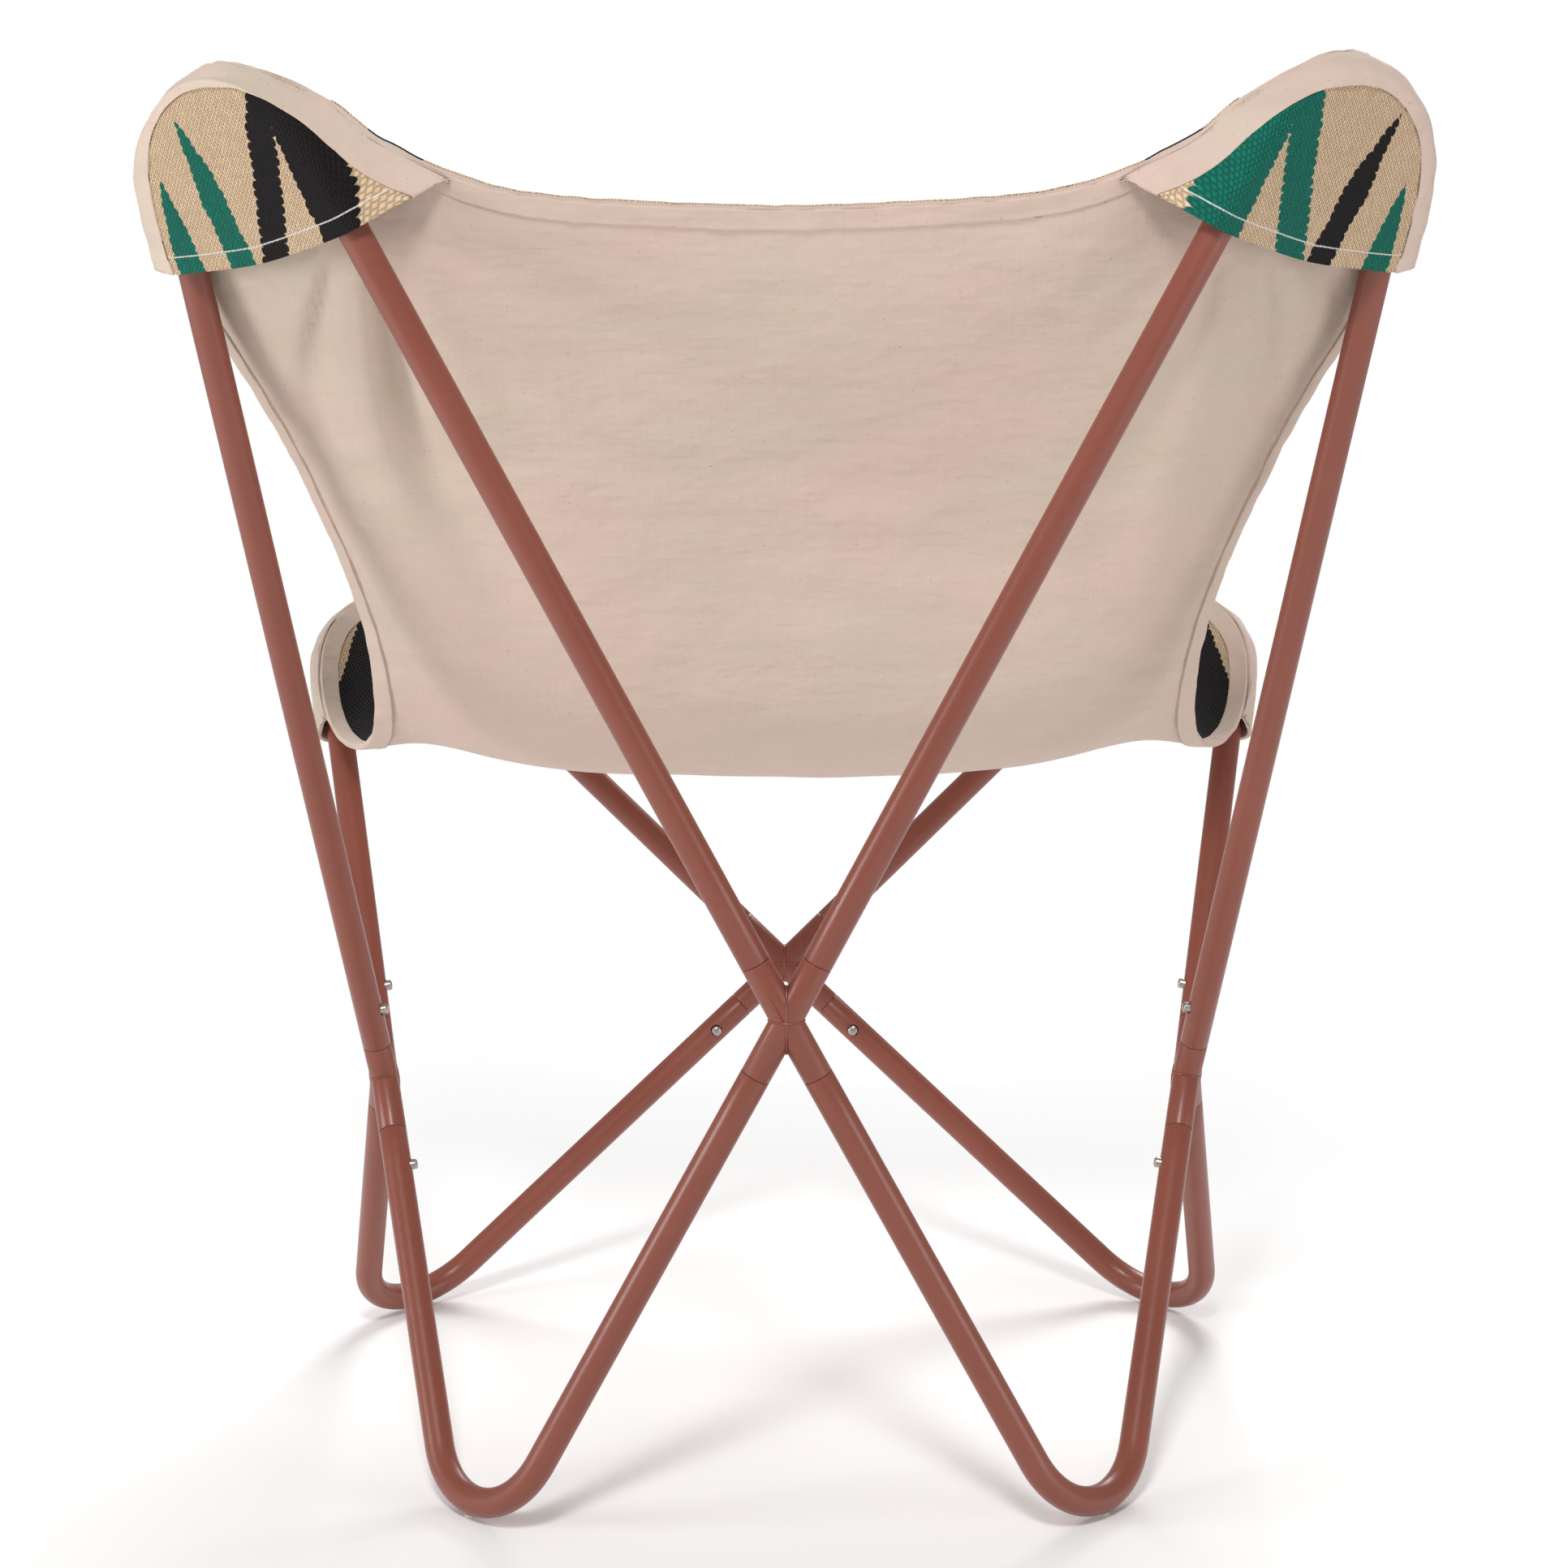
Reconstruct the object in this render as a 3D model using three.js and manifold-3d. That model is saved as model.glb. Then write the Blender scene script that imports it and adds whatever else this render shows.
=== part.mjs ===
// A butterfly sling chair: eight bent steel tubes plugged onto four crossed connectors, and a fabric
// sling that hangs from the four upper tips by sewn pockets.
// Millimetres, +Z up. The sitter faces -Y and the sitter's left is +X.
import * as THREE from "three";
import { mergeVertices } from "three/addons/utils/BufferGeometryUtils.js";
import Module from "manifold-3d";

const wasm = await Module();
wasm.setup();

// Frame skeleton. Each bent tube follows a V: two straight legs that would meet in a sharp tip.
// The tips are measured from the middle of the chair, the crossings likewise.
const back_tip_out = 410;
const back_tip_back = 242;
const back_tip_up = 1112;
const front_tip_out = 355;
const front_tip_forward = 339;
const front_tip_up = 579;
const back_foot_out = 204;
const back_foot_back = 231;
const front_foot_out = 316;
const front_foot_forward = 192;
const back_cross_back = 237;
const back_cross_up = 335;
const front_cross_forward = 261;
const front_cross_up = 244.5;
const side_cross_out = 274;
const side_cross_forward = 19;
const side_cross_up = 226.6;

// Tubes and their bends, measured to the centre line.
const tube_diameter = 19;
const tube_wall = 1.5;
const back_top_bend_radius = 66;
const front_top_bend_radius = 63;
const foot_bend_radius = 58;

// Connectors: how far each shoulder reaches from the crossing, and the spigots in the tubes.
const back_cross_reach = 40;
const front_cross_reach = 44;
const side_through_reach = 42;
const side_stub_reach = 26;
const seam_gap = 0.3;
const spigot_length = 46;
const spigot_wall = 1.2;
const spigot_clearance = 0.33;

// Snap buttons and the spring clips that push them out.
const button_set_back = 27;
const button_head_diameter = 7;
const button_hole_clearance = 0.4;
const button_stand_out = 4;
const button_dome_height = 1.2;
const button_flange_diameter = 8.5;
const button_flange_thickness = 1;
const inner_clearance = 0.3;
const clip_width = 5;
const clip_thickness = 0.5;
const clip_length = 20;
const clip_overhang = 4;

// Glides: small plugs in the lowest point of each foot loop.
const glide_stand_off = 2;
const glide_diameter = 7.6;
const glide_shank_diameter = 4;
const glide_shank_overhang = 0.6;
const glide_gap = 0.3;
const glide_hole_clearance = 0.35;

// Sling cloth: a canvas backing, a woven seat face on it, and a doubled edge binding.
const cloth_to_tube_clearance = 0.6;
const cloth_gap = 0.4;
const canvas_thickness = 0.9;
const kilim_thickness = 2.2;
const binding_width = 14;
const binding_gap = 0.5;
const pocket_gap = 0.5;

// The sling's rim round each upper loop: how far it stands outside the tube's centre line.
const back_rim_outer_leg = 29;
const back_rim_outer = 32;
const back_rim_tip = 30;
const back_rim_inner = 25;
const back_rim_inner_leg = 30;
const back_rim_inner_lift = 26;
const back_outer_mouth_run = 55;
const back_inner_mouth_run = 17;
const front_rim = 17.5;
const front_rim_inner_lift = 10;
const front_outer_mouth_run = 64;
const front_inner_mouth_run = 35;
const front_mouth_lift = 6;

// The free edges between the pockets.
const top_edge_back = 222;
const top_edge_up = 820;
const side_edge_draw_in = 62;
const side_edge_draw_back = 82;
const side_edge_sag = 14;
const front_edge_forward = 322;
const front_edge_up = 438;

// The seat's own line down the middle, from the top edge to the front edge.
const seat_bend_back = 8;
const seat_bend_up = 456;
const seat_low_forward = 105;
const seat_low_up = 412;

// How far down each upper loop the cloth still lies on its legs, and how fast it leaves them sideways.
const back_hold_length = 120;
const front_hold_length = 55;
const hold_fade = 55;

// Pockets sewn over the upper tips, seen as a rear sheet with a rounded side wall.
const pocket_thickness = 2;
const pocket_wall_straight = 3;
const back_hem_below_bend = 33;
const front_hem_below_bend = 20;

// Shared working values.
const weld_distance = 0.0005;
const cut_overrun = 5;
const tube_sides = 12;
const bore_sides = 8;
const hole_sides = 8;
const bend_step_degrees = 20;
const across_count = 18;
const along_count = 18;

// Sizes that follow from the ones above.
const tube_radius = tube_diameter / 2;
const bore_radius = tube_radius - tube_wall;
const bore_flat = bore_radius * Math.cos(Math.PI / bore_sides);
const spigot_radius = bore_flat - spigot_clearance;
const spigot_bore = spigot_radius - spigot_wall;
const spigot_bore_flat = spigot_bore * Math.cos(Math.PI / bore_sides);
const button_radius = button_head_diameter / 2;
const button_hole_radius = (button_radius + button_hole_clearance) / Math.cos(Math.PI / hole_sides);
const button_flange_radius = button_flange_diameter / 2;
const button_top = tube_radius + button_stand_out;
const flange_top = Math.sqrt(spigot_bore_flat ** 2 - button_flange_radius ** 2) - inner_clearance;
const flange_bottom = flange_top - button_flange_thickness;
const clip_top = flange_bottom - inner_clearance;
const clip_bottom = inner_clearance - Math.sqrt(spigot_bore_flat ** 2 - (clip_width / 2) ** 2);
const cloth_seat = tube_radius + cloth_to_tube_clearance;
const kilim_low = canvas_thickness + cloth_gap;
const kilim_high = kilim_low + kilim_thickness;
const pocket_rear = cloth_seat + pocket_thickness;

// Materials.
const paint = { color: 0x96594b, roughness: 0.38, metalness: 0.25 };
const steel = { color: 0x8c8a88, roughness: 0.3, metalness: 0.9 };
const nylon = { color: 0xcfcac2, roughness: 0.5, metalness: 0 };
const canvas = { color: 0xd4c0b2, roughness: 0.9, metalness: 0 };
const wool = { color: 0xd9c19a, roughness: 0.95, metalness: 0 };

const chair = new THREE.Group();

const vec = (x, y, z) => new THREE.Vector3(x, y, z);
const mix = (a, b, share) => a.clone().lerp(b, share);
const along = (from, direction, distance) => from.clone().addScaledVector(direction, distance);
const degrees = (value) => THREE.MathUtils.degToRad(value);
const smooth = (value) => THREE.MathUtils.smoothstep(value, 0, 1);

// Solids: a closed three.js geometry as a manifold, facing out, and back again.
function toSolid(geometry) {
  const bare = new THREE.BufferGeometry();
  bare.setAttribute("position", geometry.getAttribute("position"));
  bare.setIndex(geometry.getIndex());
  const merged = mergeVertices(bare, weld_distance);
  const corners = merged.getIndex().array;
  const kept = [];
  for (let i = 0; i < corners.length; i += 3) {
    const [a, b, c] = [corners[i], corners[i + 1], corners[i + 2]];
    if (a !== b && b !== c && a !== c) kept.push([a, b, c]);
  }
  const vertProperties = new Float32Array(merged.getAttribute("position").array);
  const make = (triangles) => {
    const triVerts = new Uint32Array(triangles.flat());
    return new wasm.Manifold(new wasm.Mesh({ numProp: 3, vertProperties, triVerts }));
  };
  const solid = make(kept);
  return solid.volume() < 0 ? make(kept.map(([a, b, c]) => [a, c, b])) : solid;
}

function toGeometry(solid) {
  const mesh = solid.getMesh();
  const geometry = new THREE.BufferGeometry();
  geometry.setAttribute("position", new THREE.BufferAttribute(mesh.vertProperties, 3));
  geometry.setIndex(new THREE.BufferAttribute(mesh.triVerts, 1));
  geometry.computeVertexNormals();
  return geometry;
}

function addPart(name, geometry, look) {
  const mesh = new THREE.Mesh(geometry, new THREE.MeshStandardMaterial(look));
  mesh.name = name;
  chair.add(mesh);
  return mesh;
}

// A path with its own stations and a fixed sideways direction, for sections that must not twist.
class Route extends THREE.Curve {
  constructor(points, tangents, side) {
    super();
    this.points = points;
    this.tangents = tangents;
    this.side = side;
  }

  getPoint(share) {
    return this.points[Math.round(share * (this.points.length - 1))].clone();
  }

  getSpacedPoints() {
    return this.points.map((point) => point.clone());
  }

  computeFrenetFrames() {
    const binormals = this.tangents.map(() => this.side.clone());
    const normals = this.tangents.map((tangent) => this.side.clone().cross(tangent).normalize());
    return { tangents: this.tangents, normals, binormals };
  }
}

function circlePoints(radius, sides) {
  const points = [];
  for (let i = 0; i < sides; i++) {
    const angle = (i / sides) * 2 * Math.PI;
    points.push(new THREE.Vector2(radius * Math.cos(angle), radius * Math.sin(angle)));
  }
  return points;
}

function sweep(route, radius, sides, hole) {
  const section = new THREE.Shape(circlePoints(radius, sides));
  if (hole) section.holes.push(new THREE.Path(circlePoints(hole, bore_sides)));
  const steps = route.points.length - 1;
  return new THREE.ExtrudeGeometry(section, { steps, extrudePath: route, curveSegments: 1 });
}

function rod(from, direction, length, radius, sides, side) {
  const route = new Route([from, along(from, direction, length)], [direction, direction], side);
  return toSolid(sweep(route, radius, sides));
}

// The V of one bent tube: its bend's centre, the axes of its plane and its half angle.
function loopFrame(tip, inner, outer, radius, sitterSide) {
  const toInner = inner.clone().sub(tip).normalize();
  const toOuter = outer.clone().sub(tip).normalize();
  const normal = toInner.clone().cross(toOuter).normalize();
  if (normal.dot(sitterSide) < 0) normal.negate();
  const down = toInner.clone().add(toOuter).normalize();
  const half = Math.acos(THREE.MathUtils.clamp(toInner.dot(toOuter), -1, 1)) / 2;
  const centre = along(tip, down, radius / Math.sin(half));
  const up = down.clone().negate();
  const inward = toInner.clone().addScaledVector(down, -toInner.dot(down)).normalize();
  const turn = Math.PI / 2 - half;
  return { tip, inner, outer, radius, normal, centre, up, inward, half, turn };
}

// A point of a loop's plane by the angle round its bend; past the bend it runs down a leg.
function loopPoint(loop, angle, run, stand, lift) {
  const reach = loop.radius + stand;
  const sign = Math.sign(angle) || 1;
  const leg = loop.up.clone().multiplyScalar(-Math.cos(loop.half));
  leg.addScaledVector(loop.inward, sign * Math.sin(loop.half));
  return loop.centre
    .clone()
    .addScaledVector(loop.up, reach * Math.cos(angle))
    .addScaledVector(loop.inward, reach * Math.sin(angle))
    .addScaledVector(leg, run)
    .addScaledVector(loop.normal, lift);
}

// Where a point lies against a loop: up the loop, inward, above its plane, and outside its tube line.
function loopPlace(loop, point) {
  const offset = point.clone().sub(loop.centre);
  const a = offset.dot(loop.up);
  const b = offset.dot(loop.inward);
  const h = offset.dot(loop.normal);
  const side = Math.sign(b) || 1;
  const angle = Math.atan2(Math.abs(b), a);
  if (angle <= loop.turn) {
    return { a, b, h, out: Math.hypot(a, b) - loop.radius, foot: loopPoint(loop, side * angle, 0, 0, 0) };
  }
  const run = -(a * Math.cos(loop.half)) + Math.abs(b) * Math.sin(loop.half);
  const out = a * Math.sin(loop.half) + Math.abs(b) * Math.cos(loop.half) - loop.radius;
  return { a, b, h, out, foot: loopPoint(loop, side * loop.turn, run, 0, 0) };
}

// The two upper and two lower loops of one side of the chair; side is 1 for the sitter's left.
function lowestOf(loop) {
  const drop = vec(0, 0, -1).addScaledVector(loop.normal, loop.normal.z);
  const point = along(loop.centre, drop.normalize(), loop.radius);
  return point;
}

function footLoop(out, back, inner, outer, sitterSide) {
  let up = -foot_bend_radius;
  let loop;
  for (let pass = 0; pass < 8; pass++) {
    loop = loopFrame(vec(out, back, up), inner, outer, foot_bend_radius, sitterSide);
    up += glide_stand_off + tube_radius - lowestOf(loop).z;
  }
  return loop;
}

function skeleton(side) {
  const back = vec(0, back_cross_back, back_cross_up);
  const front = vec(0, -front_cross_forward, front_cross_up);
  const flank = vec(side * side_cross_out, -side_cross_forward, side_cross_up);
  const backTip = vec(side * back_tip_out, back_tip_back, back_tip_up);
  const frontTip = vec(side * front_tip_out, -front_tip_forward, front_tip_up);
  const toSitter = vec(-side, -1, 1);
  const toFrontSitter = vec(-side, 1, 1);
  return {
    back_top: loopFrame(backTip, back, flank, back_top_bend_radius, toSitter),
    front_top: loopFrame(frontTip, front, flank, front_top_bend_radius, toFrontSitter),
    back_foot: footLoop(side * back_foot_out, back_foot_back, back, flank, toSitter),
    front_foot: footLoop(side * front_foot_out, -front_foot_forward, front, flank, toFrontSitter),
  };
}

const sides = { left: skeleton(1), right: skeleton(-1) };

// A leg of a tube, seen from the connector that it plugs onto.
function legOf(loop, end, reach) {
  const from = loop[end];
  const direction = loop.tip.clone().sub(from).normalize();
  const seat = reach + seam_gap;
  const buttonAt = along(from, direction, seat + button_set_back);
  const inside = vec(-from.x, -from.y, 0);
  const facing = inside.addScaledVector(direction, -inside.dot(direction)).normalize();
  return { loop, from, direction, reach, seat, buttonAt, facing };
}

function buttonHole(leg) {
  const length = tube_radius + cut_overrun;
  return rod(leg.buttonAt, leg.facing, length, button_hole_radius, hole_sides, leg.direction);
}

const reaches = {
  back_top: { inner: back_cross_reach, outer: side_stub_reach },
  front_top: { inner: front_cross_reach, outer: side_through_reach },
  back_foot: { inner: back_cross_reach, outer: side_through_reach },
  front_foot: { inner: front_cross_reach, outer: side_stub_reach },
};

const legs = {};
for (const [sideName, loops] of Object.entries(sides)) {
  for (const [loopName, loop] of Object.entries(loops)) {
    const reach = reaches[loopName];
    legs[`${loopName}_${sideName}`] = {
      inner: legOf(loop, "inner", reach.inner),
      outer: legOf(loop, "outer", reach.outer),
    };
  }
}

// Bent tubes: straight leg, bend, straight leg, with a button hole near each end.
function bentTube(loop, pair) {
  const points = [along(pair.inner.from, pair.inner.direction, pair.inner.seat)];
  const tangents = [pair.inner.direction];
  const steps = Math.ceil((2 * loop.turn) / degrees(bend_step_degrees));
  for (let i = 0; i <= steps; i++) {
    const angle = loop.turn * (1 - (2 * i) / steps);
    points.push(
      loop.centre
        .clone()
        .addScaledVector(loop.up, loop.radius * Math.cos(angle))
        .addScaledVector(loop.inward, loop.radius * Math.sin(angle)),
    );
    tangents.push(
      loop.up
        .clone()
        .multiplyScalar(Math.sin(angle))
        .addScaledVector(loop.inward, -Math.cos(angle)),
    );
  }
  points.push(along(pair.outer.from, pair.outer.direction, pair.outer.seat));
  tangents.push(pair.outer.direction.clone().negate());
  const whole = toSolid(sweep(new Route(points, tangents, loop.normal), tube_radius, tube_sides, bore_radius));
  return whole.subtract(buttonHole(pair.inner)).subtract(buttonHole(pair.outer));
}

for (const [sideName, loops] of Object.entries(sides)) {
  for (const [loopName, loop] of Object.entries(loops)) {
    let tube = bentTube(loop, legs[`${loopName}_${sideName}`]);
    if (loopName.endsWith("foot")) {
      const low = lowestOf(loop);
      const holeRadius = glide_shank_diameter / 2 + glide_hole_clearance;
      const up = vec(0, 0, 1);
      const start = along(low, up, -(tube_radius + cut_overrun));
      tube = tube.subtract(rod(start, up, tube_radius + cut_overrun, holeRadius, hole_sides, vec(1, 0, 0)));
    }
    addPart(`tube_${loopName}_${sideName}`, toGeometry(tube), paint);
  }
}

// Connectors: one tube runs through, two stubs are welded to it, and four spigots plug into the tubes.
function throughTube(pair, reach, radius, sideCount) {
  const [first, second] = pair;
  const points = [along(first.from, first.direction, reach), first.from];
  points.push(along(second.from, second.direction, reach));
  const backward = first.direction.clone().negate();
  const middle = backward.clone().add(second.direction).normalize();
  const route = new Route(points, [backward, middle, second.direction], first.loop.normal);
  return toSolid(sweep(route, radius, sideCount));
}

// A stub's bore stops short of the through tube's own bore, so that the weld keeps its wall.
function stubBoreStart(stub, through) {
  const cosine = Math.abs(stub.direction.dot(through.direction));
  const sine = Math.sqrt(1 - cosine * cosine);
  return (spigot_radius + spigot_bore * cosine) / sine;
}

function connector(through, stubs) {
  const { reach } = through[0];
  const end = reach + spigot_length;
  let solid = throughTube(through, reach, tube_radius, tube_sides);
  solid = solid.add(throughTube(through, end, spigot_radius, bore_sides));
  for (const leg of stubs) {
    const spigotStart = along(leg.from, leg.direction, leg.reach - cut_overrun);
    const spigotRun = spigot_length + cut_overrun;
    solid = solid.add(rod(leg.from, leg.direction, leg.reach, tube_radius, tube_sides, leg.loop.normal));
    solid = solid.add(rod(spigotStart, leg.direction, spigotRun, spigot_radius, bore_sides, leg.loop.normal));
  }
  solid = solid.subtract(throughTube(through, end + cut_overrun, spigot_bore, bore_sides));
  for (const leg of stubs) {
    const boreDepth = stubBoreStart(leg, through[0]);
    const boreStart = along(leg.from, leg.direction, boreDepth);
    const boreRun = leg.reach + spigot_length + cut_overrun - boreDepth;
    solid = solid.subtract(rod(boreStart, leg.direction, boreRun, spigot_bore, bore_sides, leg.loop.normal));
  }
  for (const leg of [...through, ...stubs]) solid = solid.subtract(buttonHole(leg));
  return toGeometry(solid);
}

const crossings = {
  connector_back: [
    [legs.back_top_right.inner, legs.back_foot_left.inner],
    [legs.back_top_left.inner, legs.back_foot_right.inner],
  ],
  connector_front: [
    [legs.front_top_right.inner, legs.front_foot_left.inner],
    [legs.front_top_left.inner, legs.front_foot_right.inner],
  ],
  connector_left: [
    [legs.front_top_left.outer, legs.back_foot_left.outer],
    [legs.back_top_left.outer, legs.front_foot_left.outer],
  ],
  connector_right: [
    [legs.front_top_right.outer, legs.back_foot_right.outer],
    [legs.back_top_right.outer, legs.front_foot_right.outer],
  ],
};
for (const [name, [through, stubs]] of Object.entries(crossings)) {
  addPart(name, connector(through, stubs), paint);
}

// Snap buttons: a domed head through both walls, with a flange inside the spigot.
const buttonShape = new THREE.LatheGeometry(
  [
    new THREE.Vector2(0, flange_bottom),
    new THREE.Vector2(button_flange_radius, flange_bottom),
    new THREE.Vector2(button_flange_radius, flange_top),
    new THREE.Vector2(button_radius, flange_top),
    new THREE.Vector2(button_radius, button_top - button_dome_height),
    new THREE.Vector2(button_radius * 0.7, button_top - button_dome_height * 0.3),
    new THREE.Vector2(0, button_top),
  ],
  hole_sides,
);

// Spring clips: a leaf folded to a V, one leaf under the button and one on the far wall.
function clipGeometry() {
  const fold = (clip_top + clip_bottom) / 2;
  const round = clip_thickness * 3;
  const outline = new THREE.Shape([
    new THREE.Vector2(clip_overhang, clip_top),
    new THREE.Vector2(-clip_overhang, clip_top),
    new THREE.Vector2(-clip_length + round, fold + round),
    new THREE.Vector2(-clip_length, fold),
    new THREE.Vector2(-clip_length + round, fold - round),
    new THREE.Vector2(-clip_overhang, clip_bottom),
    new THREE.Vector2(clip_overhang, clip_bottom),
    new THREE.Vector2(clip_overhang, clip_bottom + clip_thickness),
    new THREE.Vector2(-clip_overhang, clip_bottom + clip_thickness),
    new THREE.Vector2(-clip_length + round + clip_thickness, fold - round + clip_thickness),
    new THREE.Vector2(-clip_length + round, fold),
    new THREE.Vector2(-clip_length + round + clip_thickness, fold + round - clip_thickness),
    new THREE.Vector2(-clip_overhang, clip_top - clip_thickness),
    new THREE.Vector2(clip_overhang, clip_top - clip_thickness),
  ]);
  const leaf = new THREE.ExtrudeGeometry(outline, { depth: clip_width, bevelEnabled: false });
  return leaf.translate(0, 0, -clip_width / 2);
}
const clipShape = clipGeometry();

const buttonNames = { inner: "in", outer: "out" };
for (const [loopName, pair] of Object.entries(legs)) {
  for (const [end, leg] of Object.entries(pair)) {
    const third = leg.direction.clone().cross(leg.facing);
    const frame = new THREE.Matrix4().makeBasis(leg.direction, leg.facing, third);
    for (const [kind, shape] of [["button", buttonShape], ["clip", clipShape]]) {
      const mesh = addPart(`${kind}_${loopName}_${buttonNames[end]}`, shape, steel);
      mesh.quaternion.setFromRotationMatrix(frame);
      mesh.position.copy(leg.buttonAt);
    }
  }
}

// Glides: a flat head under the tube and a shank through its wall.
const glideTop = glide_stand_off + tube_wall + glide_shank_overhang;
const glideHead = glide_stand_off - glide_gap;
const glideShape = new THREE.LatheGeometry(
  [
    new THREE.Vector2(0, 0),
    new THREE.Vector2(glide_diameter / 2, 0),
    new THREE.Vector2(glide_diameter / 2, glideHead),
    new THREE.Vector2(glide_shank_diameter / 2, glideHead),
    new THREE.Vector2(glide_shank_diameter / 2, glideTop),
    new THREE.Vector2(0, glideTop),
  ],
  hole_sides,
).rotateX(Math.PI / 2);
for (const [sideName, loops] of Object.entries(sides)) {
  for (const end of ["back", "front"]) {
    const low = lowestOf(loops[`${end}_foot`]);
    addPart(`glide_${end}_${sideName}`, glideShape, nylon).position.set(low.x, low.y, 0);
  }
}

// The sling's rim, as knots: places on the underside of the canvas, with the cloth's facing there.
// Round a loop each knot is a share of the bend's angle, a run down the leg, a stand-out and a lift.
const backLoop = sides.left.back_top;
const frontLoop = sides.left.front_top;

function rimKnot(loop, angleShare, run, stand, lift) {
  const angle = loop.turn * angleShare;
  return { at: loopPoint(loop, angle, run, stand, cloth_seat + lift), facing: loop.normal, free: 0 };
}

// Shares of the way from the back loop's inner leg to the middle of the top edge: across, up, back.
const top_edge_shares = [
  [0.89, 0.6, 0.85],
  [0.7, 0.26, 0.62],
  [0.37, 0.09, 0.25],
];
function topKnots() {
  const loop = backLoop;
  const knots = [
    rimKnot(loop, 0, 0, back_rim_tip, 0),
    rimKnot(loop, 0.3, 0, back_rim_tip, 0),
    rimKnot(loop, 0.64, 0, back_rim_inner, back_rim_inner_lift * 0.3),
    rimKnot(loop, 0.95, 0, back_rim_inner, back_rim_inner_lift * 0.68),
    rimKnot(loop, 1, back_inner_mouth_run, back_rim_inner_leg, back_rim_inner_lift),
  ];
  const start = knots[knots.length - 1].at;
  const middle = vec(0, top_edge_back, top_edge_up);
  const lean = middle.clone().sub(vec(0, -seat_low_forward, seat_low_up));
  const facing = vec(0, -lean.z, lean.y).normalize();
  for (const [across, up, back] of top_edge_shares) {
    const at = vec(start.x * across, 0, 0);
    at.y = middle.y + (start.y - middle.y) * back;
    at.z = middle.z + (start.z - middle.z) * up;
    knots.push({ at, facing: mix(facing, loop.normal, across * across), free: 1 });
  }
  knots.push({ at: middle, facing, free: 1 });
  return knots;
}

// Shares of the way from the back mouth to the front mouth, then of the draw in, draw back and sag.
const side_edge_shares = [
  [0.12, 0.28, 0.24, 0],
  [0.27, 0.6, 0.54, 0],
  [0.45, 0.84, 0.76, 0.05],
  [0.61, 0.99, 0.94, 0.2],
  [0.74, 1, 1, 0.55],
  [0.86, 0.88, 0.98, 0.95],
  [0.955, 0.62, 0.72, 1],
];
function sideKnots() {
  const back = backLoop;
  const front = frontLoop;
  const knots = [
    rimKnot(back, 0, 0, back_rim_tip, 0),
    rimKnot(back, -0.3, 0, (back_rim_tip + back_rim_outer) / 2, 0),
    rimKnot(back, -0.65, 0, back_rim_outer, 0),
    rimKnot(back, -1, 0, back_rim_outer, 0),
    rimKnot(back, -1, back_outer_mouth_run / 2, (back_rim_outer + back_rim_outer_leg) / 2, 0),
    rimKnot(back, -1, back_outer_mouth_run, back_rim_outer_leg, 0),
  ];
  const start = knots[knots.length - 1].at;
  const end = rimKnot(front, -1, front_outer_mouth_run, front_rim, front_mouth_lift);
  const middleFacing = vec(-1, 0, 0.25).normalize();
  for (const [way, draw, rear, sag] of side_edge_shares) {
    const at = mix(start, end.at, way);
    at.x -= side_edge_draw_in * draw;
    at.y += side_edge_draw_back * rear;
    at.z -= side_edge_sag * sag;
    const near = way < 0.5 ? back.normal : front.normal;
    const weight = Math.abs(2 * way - 1) ** 2;
    knots.push({ at, facing: mix(middleFacing, near, weight), free: 1 });
  }
  knots.push(end);
  knots.push(rimKnot(front, -1, front_outer_mouth_run / 2, front_rim, front_mouth_lift * 0.3));
  knots.push(rimKnot(front, -1, 0, front_rim, 0));
  knots.push(rimKnot(front, -0.65, 0, front_rim, 0));
  knots.push(rimKnot(front, -0.3, 0, front_rim, 0));
  knots.push(rimKnot(front, 0, 0, front_rim, 0));
  return knots;
}

const front_edge_shares = [
  [0.84, 0.55, 0.75],
  [0.6, 0.2, 0.45],
  [0.3, 0.05, 0.15],
];
function frontKnots() {
  const loop = frontLoop;
  const knots = [
    rimKnot(loop, 0, 0, front_rim, 0),
    rimKnot(loop, 0.33, 0, front_rim, 0),
    rimKnot(loop, 0.7, 0, front_rim, 0),
    rimKnot(loop, 1, 0, front_rim, front_rim_inner_lift * 0.2),
    rimKnot(loop, 1, front_inner_mouth_run, front_rim, front_rim_inner_lift),
  ];
  const start = knots[knots.length - 1].at;
  const middle = vec(0, -front_edge_forward, front_edge_up);
  const facing = vec(0, front_edge_up - seat_low_up, front_edge_forward - seat_low_forward).normalize();
  for (const [across, up, back] of front_edge_shares) {
    const at = vec(start.x * across, 0, 0);
    at.y = middle.y + (start.y - middle.y) * back;
    at.z = middle.z + (start.z - middle.z) * up;
    knots.push({ at, facing: mix(facing, loop.normal, across * across), free: 1 });
  }
  knots.push({ at: middle, facing, free: 1 });
  return knots;
}

// A rim line that can be read at any share of its length: place, direction and facing.
function rimLine(knots) {
  const curve = new THREE.CatmullRomCurve3(knots.map((knot) => knot.at));
  curve.arcLengthDivisions = knots.length * 40;
  const read = (share) => {
    const t = curve.getUtoTmapping(share);
    const place = t * (knots.length - 1);
    const low = Math.min(Math.floor(place), knots.length - 2);
    const facing = mix(knots[low].facing, knots[low + 1].facing, smooth(place - low)).normalize();
    const free = THREE.MathUtils.lerp(knots[low].free, knots[low + 1].free, place - low);
    const tangent = curve.getTangent(t);
    facing.addScaledVector(tangent, -facing.dot(tangent)).normalize();
    return { at: curve.getPoint(t), tangent, facing, free };
  };
  return { curve, read };
}

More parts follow.
